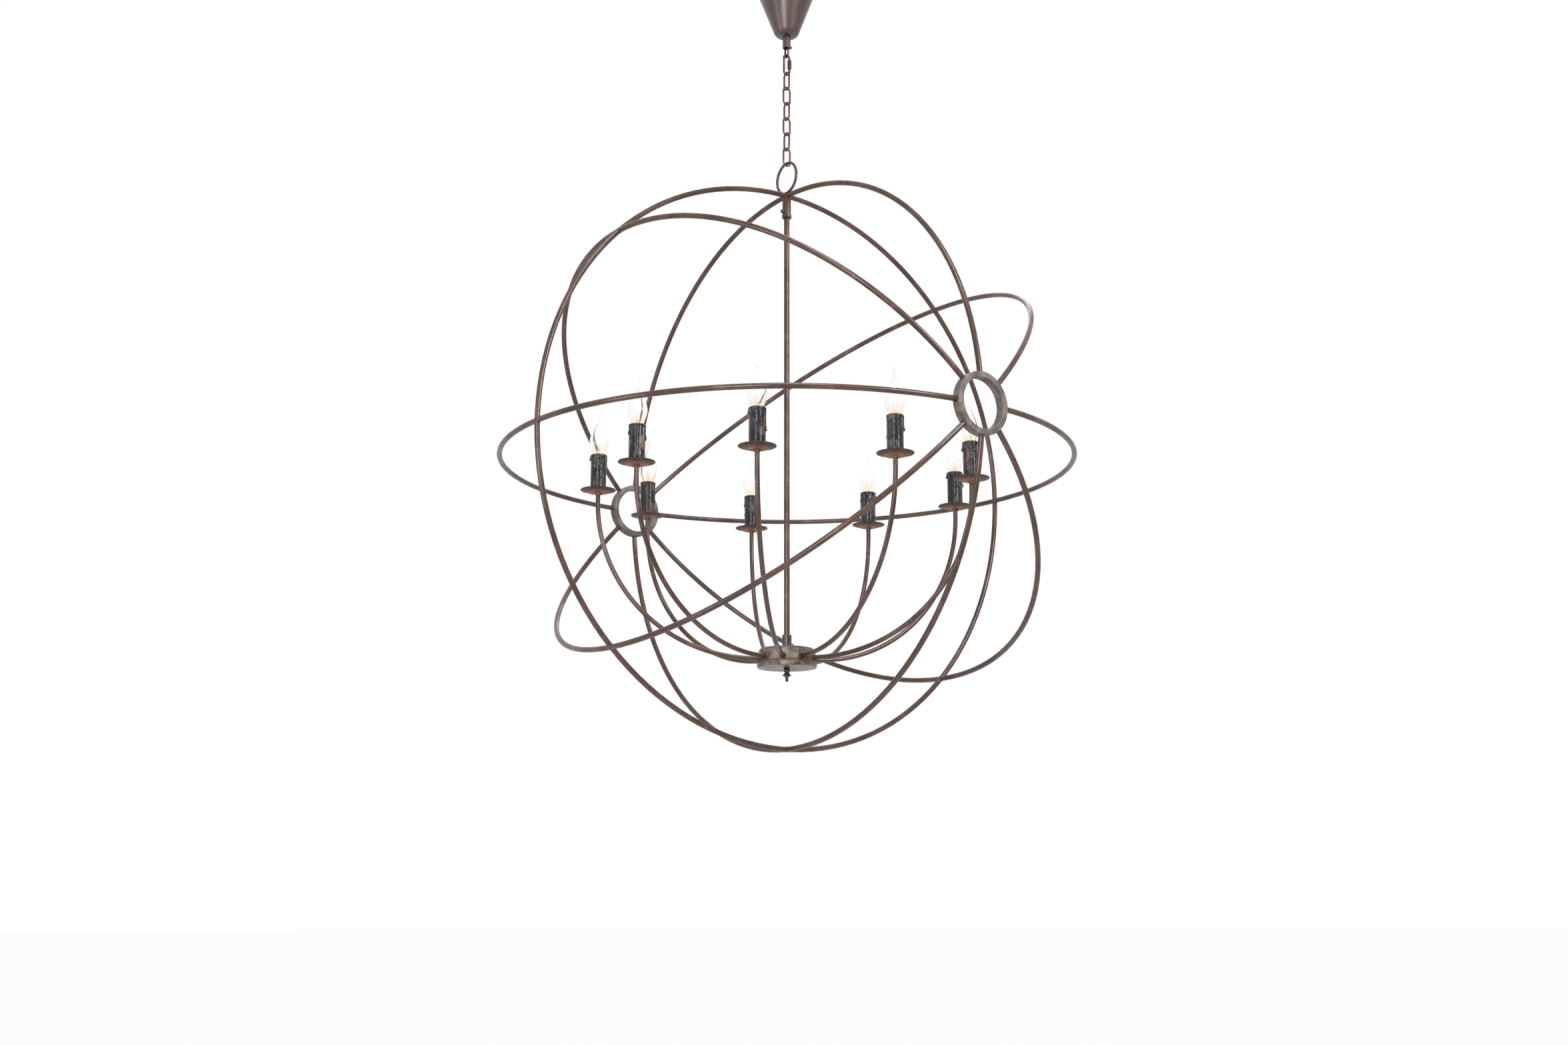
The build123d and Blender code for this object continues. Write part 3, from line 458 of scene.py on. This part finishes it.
def dress_frame():
    """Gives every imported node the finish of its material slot."""
    for entry in frame["record"]["subparts"]:
        mesh = frame["nodes"][entry["node"]].data
        mesh.materials.clear()
        mesh.materials.append(FINISHES[entry["material_slot"]])


# ---------------------------------------------------------------- mesh makers
SAME_POINT = 1e-6


def skin(name, rows, finish, loop=False, heights=None):
    """A smooth mesh over rows of points, each closed; loop joins the last row to the first.

    Heights mark each point for the finish, as the attribute "raised".
    """
    mesh = bmesh.new()
    raised = mesh.verts.layers.float.new("raised")
    grid = [[mesh.verts.new(point) for point in row] for row in rows]
    if heights:
        for row, marks in zip(grid, heights):
            for vert, mark in zip(row, marks):
                vert[raised] = mark
    pairs = list(zip(grid, grid[1:])) + ([(grid[-1], grid[0])] if loop else [])
    for low, high in pairs:
        for here in range(len(low)):
            there = (here + 1) % len(low)
            mesh.faces.new((low[here], low[there], high[there], high[here]))
    bmesh.ops.remove_doubles(mesh, verts=mesh.verts[:], dist=SAME_POINT)
    bmesh.ops.recalc_face_normals(mesh, faces=mesh.faces[:])
    for face in mesh.faces:
        face.smooth = True
    data = bpy.data.meshes.new(name)
    mesh.to_mesh(data)
    mesh.free()
    piece = bpy.data.objects.new(name, data)
    bpy.context.scene.collection.objects.link(piece)
    data.materials.append(finish)
    return piece


def round_turns(count):
    """Even angles all the way round."""
    return [2 * pi * step / count for step in range(count)]


def circle_row(middle, radius, height, count):
    """A level circle of points round an upright axis."""
    return [
        Vector((middle.x + radius * cos(t), middle.y + radius * sin(t), height))
        for t in round_turns(count)
    ]


def tube_rows(path, radius, sides, closed=False):
    """Rings of points along a path; radius is a number, or a function of the step."""
    count = len(path)
    ring_rows = []
    across = None
    for step, point in enumerate(path):
        before = path[step - 1] if step or closed else point
        after = path[(step + 1) % count] if step + 1 < count or closed else point
        forward = (after - before).normalized()
        if across is None:
            across = forward.orthogonal().normalized()
        across = (across - forward * across.dot(forward)).normalized()
        side = forward.cross(across)
        size = radius(step) if callable(radius) else radius
        ring_rows.append([
            point + (across * cos(t) + side * sin(t)) * size for t in round_turns(sides)
        ])
    return ring_rows


def capped(rows):
    """The rows with a point at each end, which closes the tube."""
    first = sum(rows[0], Vector()) / len(rows[0])
    last = sum(rows[-1], Vector()) / len(rows[-1])
    return [[first] * len(rows[0]), *rows, [last] * len(rows[-1])]


def joined(name, pieces):
    """Several pieces made into one object."""
    whole = pieces[0]
    mesh = bmesh.new()
    for piece in pieces:
        mesh.from_mesh(piece.data)
    mesh.to_mesh(whole.data)
    mesh.free()
    for piece in pieces[1:]:
        bpy.data.objects.remove(piece)
    whole.name = name
    return whole


def lumps(seed, size, unevenness):
    """A radius that swells and thins along a weld, the same at each run."""
    def radius(step):
        return size * (1 + unevenness * noise.noise(Vector((step * 0.55, seed * 3.7, 0))))
    return radius


# ---------------------------------------------------------------- candle sleeves
SLEEVE_SIDES = 112
SLEEVE_ROWS = 88
SLEEVE_HEADROOM = 0.3 * MM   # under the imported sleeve's edge, for the uneven rim
SLEEVE_FOOTROOM = 0.05 * MM
EDGE_ROUND = 2.4 * MM
EDGE_ROWS = 5
EDGE_UNEVEN = 0.25 * MM
MOUTH_DIP = 0.15 * MM
LIP_STEP = 0.2 * MM

WAX_SEED = 40                # plus the candle's number
DRIP_COUNTS = (8, 9, 10)
DRIP_DEPTHS = (0.012, 0.02, 0.03, 0.042, 0.055)
DRIP_WANDER = 0.6 * MM
HEM_DEPTH = 3 * MM           # of the curtain of wax under the mouth
HEM_SAG = 7 * MM             # more of it over each run
HEM_REACH = 1.8 * MM
HEM_FADE = 1.2 * MM
CURTAIN = 0.9 * MM
WAX_COAT = 0.15 * MM
WAX_RIPPLE = 0.16 * MM
FULL_RISE = 2 * MM           # wax that the finish takes as fully raised


def drip_list(number):
    """Runs of wax down one candle: angle, depth of the end, half width, height."""
    draw = random.Random(WAX_SEED + number)
    runs = []
    count = draw.choice(DRIP_COUNTS)
    for turn in range(count):
        angle = 2 * pi * (turn + draw.uniform(-0.3, 0.3)) / count
        depth = draw.choice(DRIP_DEPTHS) * draw.uniform(0.85, 1.15)
        runs.append((angle, depth, draw.uniform(1.4, 2.5) * MM, draw.uniform(1.9, 3.1) * MM))
    return runs


def way_round(angle, other):
    """The way round the sleeve from one angle to another."""
    return abs(((angle - other + pi) % (2 * pi)) - pi) * SLEEVE_RADIUS


def drip_height(run, angle, depth, number):
    """How far one run of wax stands off the sleeve at a place."""
    run_angle, end, width, rise = run
    wander = DRIP_WANDER * noise.noise(Vector((depth * 90, run_angle * 5, number)))
    aside = way_round(angle, run_angle) + wander
    short = end - depth
    if short <= 0:
        return 0.0
    swell = exp(-((short - width) / (2.2 * width)) ** 2)
    half = width * (0.55 + 0.45 * swell)
    if short < width:
        half = min(half, sqrt(width**2 - (width - short) ** 2))
    if aside >= half:
        return 0.0
    return rise * (0.4 + 0.6 * swell) * sqrt(1 - (aside / half) ** 2)


def wax_rise(runs, angle, depth, number):
    """All the runs and the curtain under the mouth together."""
    total = sum(drip_height(run, angle, depth, number) ** 3 for run in runs) ** (1 / 3)
    nearest = min(way_round(angle, run[0]) for run in runs)
    hem = HEM_DEPTH + HEM_SAG * exp(-nearest / HEM_REACH)
    curtain = CURTAIN * min(1.0, max(0.0, (hem - depth) / HEM_FADE)) ** 0.5
    place = Vector((cos(angle) * 3, sin(angle) * 3, depth * 160 + number))
    return max(total, curtain) + WAX_COAT + WAX_RIPPLE * noise.noise(place)


def candle_sleeve(number, place):
    """One sleeve with its dripped wax, its rounded edge and its hollow inside."""
    runs = drip_list(number)
    top = sleeve_high.z - SLEEVE_HEADROOM
    bottom = sleeve_low.z + SLEEVE_FOOTROOM
    turns = round_turns(SLEEVE_SIDES)
    rows, marks = [], []

    def add_row(radius, height, depth, share):
        """One row, with this share of the wax that lies at a depth under the mouth."""
        points, marked = [], []
        for turn in turns:
            rise = wax_rise(runs, turn, depth, number) if share else 0.0
            reach = radius + rise * share
            drop = 0.0
            if height > top - EDGE_ROUND:
                waver = Vector((cos(turn) * 2, sin(turn) * 2, number * 5.0))
                drop = EDGE_UNEVEN * noise.noise(waver)
            points.append(place + Vector((reach * cos(turn), reach * sin(turn), height + drop)))
            marked.append(min(1.0, rise / FULL_RISE))
        rows.append(points)
        marks.append(marked)

    straight = top - EDGE_ROUND - bottom
    for step in range(SLEEVE_ROWS + 1):
        height = bottom + straight * step / SLEEVE_ROWS
        add_row(SLEEVE_RADIUS, height, top - height, 1.0)
    for step in range(1, EDGE_ROWS + 1):
        bend = pi / 2 * step / EDGE_ROWS
        radius = SLEEVE_RADIUS - EDGE_ROUND * (1 - cos(bend))
        sunk = EDGE_ROUND * (1 - sin(bend))
        add_row(radius, top - sunk, sunk, cos(bend) ** 0.6)
    add_row(MOUTH_RADIUS, top - MOUTH_DIP, 0, 0)
    add_row(MOUTH_RADIUS, top - LIP, 0, 0)
    add_row(SLEEVE_BORE, top - LIP - LIP_STEP, 0, 0)
    add_row(SLEEVE_BORE, bottom, 0, 0)
    name = f"candle_sleeve_{number}"
    piece = skin(name, rows, FINISHES["candle_wax"], loop=True, heights=marks)
    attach(piece, "candle_tree")
    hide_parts("candle_sleeves")


# ---------------------------------------------------------------- bulbs
BULB_SIDES = 48
# radius and height over the sleeve in millimetres, from the seat up
GLASS_MARKS = (
    (8.6, -5.5), (9.6, -2.5), (10.2, 0.5), (13.6, 10.5), (16.1, 19), (16.5, 25), (15.2, 32),
    (11.8, 41), (8.0, 48.5), (4.9, 55.5), (3.0, 61), (2.1, 67), (1.7, 76), (1.35, 85),
)
GLASS_STEPS = 6              # from mark to mark
GLASS_WALL = 0.7 * MM
TIP_WALL = 0.5 * MM
TIP_ROWS = 4
TIP_ROOM = 0.6 * MM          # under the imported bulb's tip
TAIL_START = 55 * MM         # over the sleeve, from here the tip leans
TAIL_LEAN = 8 * MM
# the way each bulb's drawn tip leans, in degrees from +X, arm by arm
TAIL_TURNS = (150, 330, 20, 300, 315, 140, 60, 160, 130)

CAP_RADIUS = 6.6 * MM
CAP_HEIGHT = 21 * MM
THREAD_DEPTH = 0.35 * MM
THREAD_PITCH = 2.82 * MM
THREAD_START = 3 * MM
THREAD_LENGTH = CAP_HEIGHT - 5 * MM
THREAD_ROWS = 8              # in each turn of the thread
# radius and height in millimetres, over the cap's foot and over its head
CAP_FOOT = ((0.0, 0.0), (3.2, 0.0), (4.0, 0.8), (5.4, 2.2))
CAP_HEAD = ((8.4, 0.3), (8.6, 0.9), (7.6, 1.1), (0.0, 1.1))

MOUNT_MARKS = ((4.6, -4), (4.4, -1), (3.4, 4), (2.2, 9), (1.9, 15), (1.5, 19), (0.01, 20.5))
MOUNT_STEPS = 3
MOUNT_FOOT = -4.2            # over the sleeve, in millimetres like the marks
# one support's way out and up from the wires' foot, in millimetres
SUPPORT_MARKS = ((1.2, 0), (3.2, 8), (4.2, 16))
SUPPORT_RADIUS = 0.22 * MM
WIRE_SIDES = 6
WIRE_FOOT = 6 * MM           # over the sleeve

COIL_TURNS = 18
COIL_STEPS = 120
COIL_RADIUS = 0.5 * MM
COIL_HEIGHT = 16             # over the wires' foot, in millimetres like the next two
COIL_BOW = 3.5
COIL_SPAN = 8.4
FILAMENT_RADIUS = 0.16 * MM
UP = Vector((0, 0, 1))


def curve_through(points, steps):
    """A smooth line of points through a few given ones."""
    line = []
    for here in range(len(points) - 1):
        before = points[max(here - 1, 0)]
        start, end = points[here], points[here + 1]
        after = points[min(here + 2, len(points) - 1)]
        for step in range(steps):
            t = step / steps
            line.append(tuple(
                0.5 * (2 * q + (r - p) * t
                       + (2 * p - 5 * q + 4 * r - s) * t**2
                       + (3 * q - p - 3 * r + s) * t**3)
                for p, q, r, s in zip(before, start, end, after)))
    return line + [tuple(points[-1])]


def hollow_profile(profile):
    """The inside of the glass: a wall in from the outside, and closed at the tip."""
    line = []
    for step, (radius, height) in enumerate(profile):
        wall = GLASS_WALL + (TIP_WALL - GLASS_WALL) * step / len(profile)
        line.append((radius - wall, height))
    return [*line, (0.0, profile[-1][1] + TIP_WALL)]


def blown_glass(number, place):
    """The envelope of one bulb, drawn out to its bent tip."""
    body = f"bulb_{number}"
    lean_way = radians(TAIL_TURNS[number - 1])
    lean_side = Vector((cos(lean_way), sin(lean_way), 0))
    top = sleeve_high.z
    tail_end = bulb_high.z - top - TIP_ROOM
    profile = [
        (radius * MM, height * MM) for radius, height in curve_through(GLASS_MARKS, GLASS_STEPS)
    ]

    def ring(radius, height):
        """A row at a height over the sleeve, moved aside where the tip leans."""
        share = max(0.0, (height - TAIL_START) / (tail_end - TAIL_START))
        middle = place + lean_side * (TAIL_LEAN * share**2)
        return circle_row(middle, radius, top + height, BULB_SIDES)

    inside = [ring(radius, height) for radius, height in hollow_profile(profile)]
    outside = [ring(radius, height) for radius, height in profile]
    tip_radius, tip_start = profile[-1]
    for step in range(1, TIP_ROWS + 1):
        bend = pi / 2 * step / TIP_ROWS
        height = tip_start + (tail_end - tip_start) * sin(bend)
        outside.append(ring(tip_radius * cos(bend), height))
    glass = skin(f"{body}_glass", [*reversed(inside), *outside], FINISHES["bulb_glass"])
    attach(glass, body)
    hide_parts(body)


def thread_row(place, height):
    """One row of the screw shell, its thread a wave that winds up with the height."""
    row = []
    for turn in round_turns(BULB_SIDES):
        wave = cos(2 * pi * (height / THREAD_PITCH) + turn)
        reach = CAP_RADIUS + THREAD_DEPTH * wave
        row.append(place + Vector((reach * cos(turn), reach * sin(turn), height)))
    return row


def screw_cap(number, place):
    """The metal cap of one bulb with its contact, thread and collar."""
    body = f"bulb_{number}"
    floor = bulb_low.z
    cap_top = floor + CAP_HEIGHT
    rows = [
        circle_row(place, radius * MM, floor + height * MM, BULB_SIDES)
        for radius, height in CAP_FOOT
    ]
    count = int(THREAD_LENGTH / THREAD_PITCH * THREAD_ROWS)
    for step in range(count + 1):
        rows.append(thread_row(place, floor + THREAD_START + THREAD_LENGTH * step / count))
    rows.append(circle_row(place, CAP_RADIUS, cap_top - 1 * MM, BULB_SIDES))
    for radius, height in CAP_HEAD:
        rows.append(circle_row(place, radius * MM, cap_top + height * MM, BULB_SIDES))
    cap = skin(f"{body}_cap", rows, FINISHES["zinc_steel"])
    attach(cap, body)


def glass_mount(number, place):
    """The pressed glass foot inside one bulb, which holds the wires."""
    body = f"bulb_{number}"
    rows = [
        circle_row(place, radius * MM, sleeve_high.z + height * MM, BULB_SIDES)
        for radius, height in [(0.0, MOUNT_FOOT), *curve_through(MOUNT_MARKS, MOUNT_STEPS)]
    ]
    mount = skin(f"{body}_mount", rows, FINISHES["bulb_glass"])
    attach(mount, body)


def filament_wires(number, place):
    """The two supports of one bulb and the lit coil between them."""
    body = f"bulb_{number}"
    across = Vector((-place.y, place.x, 0)).normalized()
    outward = place.normalized()
    foot = place + UP * (sleeve_high.z + WIRE_FOOT)
    supports = []
    for way in (-1, 1):
        ends = [foot + across * way * out * MM + UP * rise * MM for out, rise in SUPPORT_MARKS]
        line = [Vector(point) for point in curve_through([tuple(end) for end in ends], 6)]
        rows = capped(tube_rows(line, SUPPORT_RADIUS, WIRE_SIDES))
        supports.append(skin("support", rows, FINISHES["zinc_steel"]))
    wires = joined(f"{body}_supports", supports)
    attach(wires, body)

    coil = []
    for step in range(COIL_STEPS + 1):
        share = step / COIL_STEPS
        spin = 2 * pi * COIL_TURNS * share
        rise = UP * (COIL_HEIGHT + COIL_BOW * sin(pi * share)) * MM
        spine = foot + rise + across * (COIL_SPAN * share - COIL_SPAN / 2) * MM
        coil.append(spine + (outward * cos(spin) + UP * sin(spin)) * COIL_RADIUS)
    rows = capped(tube_rows(coil, FILAMENT_RADIUS, WIRE_SIDES))
    filament = skin(f"{body}_filament", rows, GLOW)
    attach(filament, body)


# ---------------------------------------------------------------- welds and rims
CROSSINGS = 8                # bars round each pipe ring, and joints round the hoop
BEAD_SIDES = 8
COLLAR_SIDES = 10
RING_BEAD = 1.0 * MM
HOOP_BEAD = 0.75 * MM
COLLAR_BEAD = 1.7 * MM
RIM_BEAD = 0.95 * MM
WELD_UNEVEN = 0.45
COLLAR_UNEVEN = 0.55
RIM_UNEVEN = 0.15
RING_SEED = 20               # between the front ring's beads and the back ring's
RIM_SEED = 50


def bead(kind, loop, radius, sides, finish):
    """A closed run along a loop of points."""
    rows = tube_rows(loop, radius, sides, True)
    return skin(kind, rows, FINISHES[finish], loop=True)


def drop_away(aside, radius):
    """How far a round surface drops at this distance from its highest line."""
    return aside**2 / (2 * radius)


def ring_welds():
    """Beads where the bars meet the two rings."""
    beads = []
    depth = sqrt(orb_radius**2 - pipe_radius**2)
    for side in (-1, 1):
        for turn, angle in enumerate(round_turns(CROSSINGS)):
            outward = Vector((cos(angle), 0, sin(angle)))
            bar_way = Vector((-sin(angle), 0, cos(angle)))
            centre = orb_centre + outward * pipe_radius + Vector((0, side * depth, 0))
            loop = []
            for t in round_turns(40):
                round_bar = bar_way * cos(t) * bar_radius + Vector((0, sin(t) * bar_radius, 0))
                sink = drop_away(bar_radius * cos(t), pipe_radius)
                loop.append(centre + round_bar - outward * sink)
            radius = lumps(turn + RING_SEED * side, RING_BEAD, WELD_UNEVEN)
            beads.append(bead("bead", loop, radius, BEAD_SIDES, "iron_patina"))
    piece = joined("ring_welds", beads)
    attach(piece, "orb_frame")


def hoop_welds():
    """Beads along the seams where the bars cross the hoop."""
    beads = []
    for turn, angle in enumerate(round_turns(CROSSINGS)):
        outward = Vector((cos(angle), 0, sin(angle)))
        hoop_way = Vector((-sin(angle), 0, cos(angle)))
        centre = orb_centre + outward * orb_radius
        for side in (-1, 1):
            loop = []
            for t in round_turns(48):
                stand = max(abs(sin(t)), 0.2) * bar_radius * side
                around = outward * cos(t) * bar_radius + hoop_way * sin(t) * bar_radius
                loop.append(centre + around * 0.97 + Vector((0, stand, 0)))
            radius = lumps(turn * side, HOOP_BEAD, WELD_UNEVEN)
            beads.append(bead("bead", loop, radius, BEAD_SIDES, "iron_patina"))
    piece = joined("hoop_welds", beads)
    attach(piece, "orb_frame")


def arm_collars():
    """Rough braze collars where the arms enter the hub."""
    collars = []
    for number, angle in enumerate(candle_angles):
        outward = Vector((cos(angle), sin(angle), 0))
        sideways = Vector((-sin(angle), cos(angle), 0))
        centre = outward * (hub_radius + 0.3 * MM) + Vector((0, 0, arm_height))
        loop = []
        for t in round_turns(36):
            sink = drop_away(ARM_RADIUS * cos(t), hub_radius)
            round_arm = (sideways * cos(t) + Vector((0, 0, sin(t)))) * (ARM_RADIUS + 0.4 * MM)
            loop.append(centre + round_arm - outward * sink)
        radius = lumps(number, COLLAR_BEAD, COLLAR_UNEVEN)
        collars.append(bead("collar", loop, radius, COLLAR_SIDES, "iron_patina"))
    piece = joined("arm_collars", collars)
    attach(piece, "candle_tree")


def pan_rims():
    """The rolled edge of each drip pan."""
    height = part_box("drip_pans")[1].z - 0.5 * MM
    rims = []
    for number, place in enumerate(candle_places):
        loop = circle_row(place, PAN_RADIUS - 0.1 * MM, height, 72)
        radius = lumps(number + RIM_SEED, RIM_BEAD, RIM_UNEVEN)
        rims.append(bead("rim", loop, radius, BEAD_SIDES, "pan_iron"))
    piece = joined("pan_rims", rims)
    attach(piece, "candle_tree")


# ---------------------------------------------------------------- studio
FLOOR_HEIGHT = -3.0
FLOOR_REACH = 90
FLOOR_GLOW = 0.82            # brings the floor up to the white behind it
AMBIENT = 0.2                # of the white background, on matt surfaces
CAMERA_DISTANCE = 3.232
CAMERA_TURN = radians(-127.06)
CAMERA_RISE = radians(-13.55)
AIM_BELOW = 0.105            # under the middle of the orb
AIM_ASIDE = -0.005
LENS = 42.16
SENSOR_WIDTH = 36
CLIP_END = 100
LAMP_DISTANCE = 3.4
# name, degrees to the camera's right and up, width, power
LAMPS = (
    ("front", -16, 4, 1.0, 44),
    ("right", 44, 22, 1.0, 60),
    ("left", -58, -6, 0.8, 22),
    ("top", 6, 58, 1.0, 40),
    ("back", 170, 40, 1.6, 22),
)
WHITE = (1, 1, 1, 1)


def background_share(nodes):
    """1 for the rays that show the background: seen straight, mirrored or through glass."""
    straight = nodes.node("ShaderNodeLightPath", output="Is Camera Ray")
    outputs = straight.socket.node.outputs
    mirrored = Signal(nodes, outputs["Is Glossy Ray"])
    through = Signal(nodes, outputs["Is Transmission Ray"])
    return straight + mirrored + through


def studio_world():
    """White behind the lamp, and a soft even light on it."""
    world = bpy.data.worlds.new("studio")
    bpy.context.scene.world = world
    air = NodeSet(world)
    shown = background_share(air)
    strength = shown.between(0.0, 1.0) * (1 - AMBIENT) + AMBIENT
    backdrop = air.node("ShaderNodeBackground", {}, {"Color": WHITE, "Strength": strength})
    air.node("ShaderNodeOutputWorld", {}, {"Surface": backdrop})


def studio_floor():
    """A pale floor far below the lamp, which runs into the white behind it."""
    data = bpy.data.meshes.new("floor")
    corners = [
        (x * FLOOR_REACH, y * FLOOR_REACH, FLOOR_HEIGHT)
        for x, y in ((-1, -1), (1, -1), (1, 1), (-1, 1))
    ]
    data.from_pydata(corners, [], [(0, 1, 2, 3)])
    floor = bpy.data.objects.new("floor", data)
    bpy.context.scene.collection.objects.link(floor)
    pale = Finish("floor")
    lit = pale.node("ShaderNodeBsdfDiffuse", {}, {"Color": paint(226, 226, 226)})
    glow = background_share(pale) * FLOOR_GLOW
    own = pale.node("ShaderNodeEmission", {}, {"Color": WHITE, "Strength": glow})
    both = pale.node("ShaderNodeAddShader", {}, {0: lit, 1: own})
    pale.node("ShaderNodeOutputMaterial", {}, {"Surface": both})
    data.materials.append(pale.material)


def soft_lamp(name, turn, rise, size, power):
    """A square lamp aimed at the orb from a turn and a rise."""
    lamp = bpy.data.lights.new(name, "AREA")
    lamp.size = size
    lamp.energy = power
    stand = bpy.data.objects.new(name, lamp)
    back = Vector((cos(turn) * cos(rise), sin(turn) * cos(rise), sin(rise)))
    stand.location = orb_centre + back * LAMP_DISTANCE
    stand.rotation_mode = "QUATERNION"
    stand.rotation_quaternion = back.to_track_quat("Z", "Y")
    bpy.context.scene.collection.objects.link(stand)


def studio_camera():
    """The camera at the photograph's viewing angle, a little below the orb's middle."""
    lens = bpy.data.cameras.new("camera")
    lens.lens = LENS
    lens.sensor_width = SENSOR_WIDTH
    lens.clip_end = CLIP_END
    camera = bpy.data.objects.new("camera", lens)
    bpy.context.scene.collection.objects.link(camera)
    flat = cos(CAMERA_RISE)
    back = Vector((cos(CAMERA_TURN) * flat, sin(CAMERA_TURN) * flat, sin(CAMERA_RISE)))
    camera.location = orb_centre + back * CAMERA_DISTANCE
    aside = Vector((-sin(CAMERA_TURN), cos(CAMERA_TURN), 0)) * AIM_ASIDE
    aim = orb_centre + aside - Vector((0, 0, AIM_BELOW))
    camera.rotation_mode = "QUATERNION"
    camera.rotation_quaternion = (aim - camera.location).to_track_quat("-Z", "Y")
    bpy.context.scene.camera = camera


# ---------------------------------------------------------------- the whole
dress_frame()
for candle, candle_place in enumerate(candle_places, start=1):
    candle_sleeve(candle, candle_place)
    blown_glass(candle, candle_place)
    screw_cap(candle, candle_place)
    glass_mount(candle, candle_place)
    filament_wires(candle, candle_place)
ring_welds()
hoop_welds()
arm_collars()
pan_rims()

studio_world()
studio_floor()
for lamp_name, aside, rise, width, power in LAMPS:
    soft_lamp(lamp_name, CAMERA_TURN + radians(aside), radians(rise), width, power)
studio_camera()
bpy.context.scene.view_settings.view_transform = "Standard"
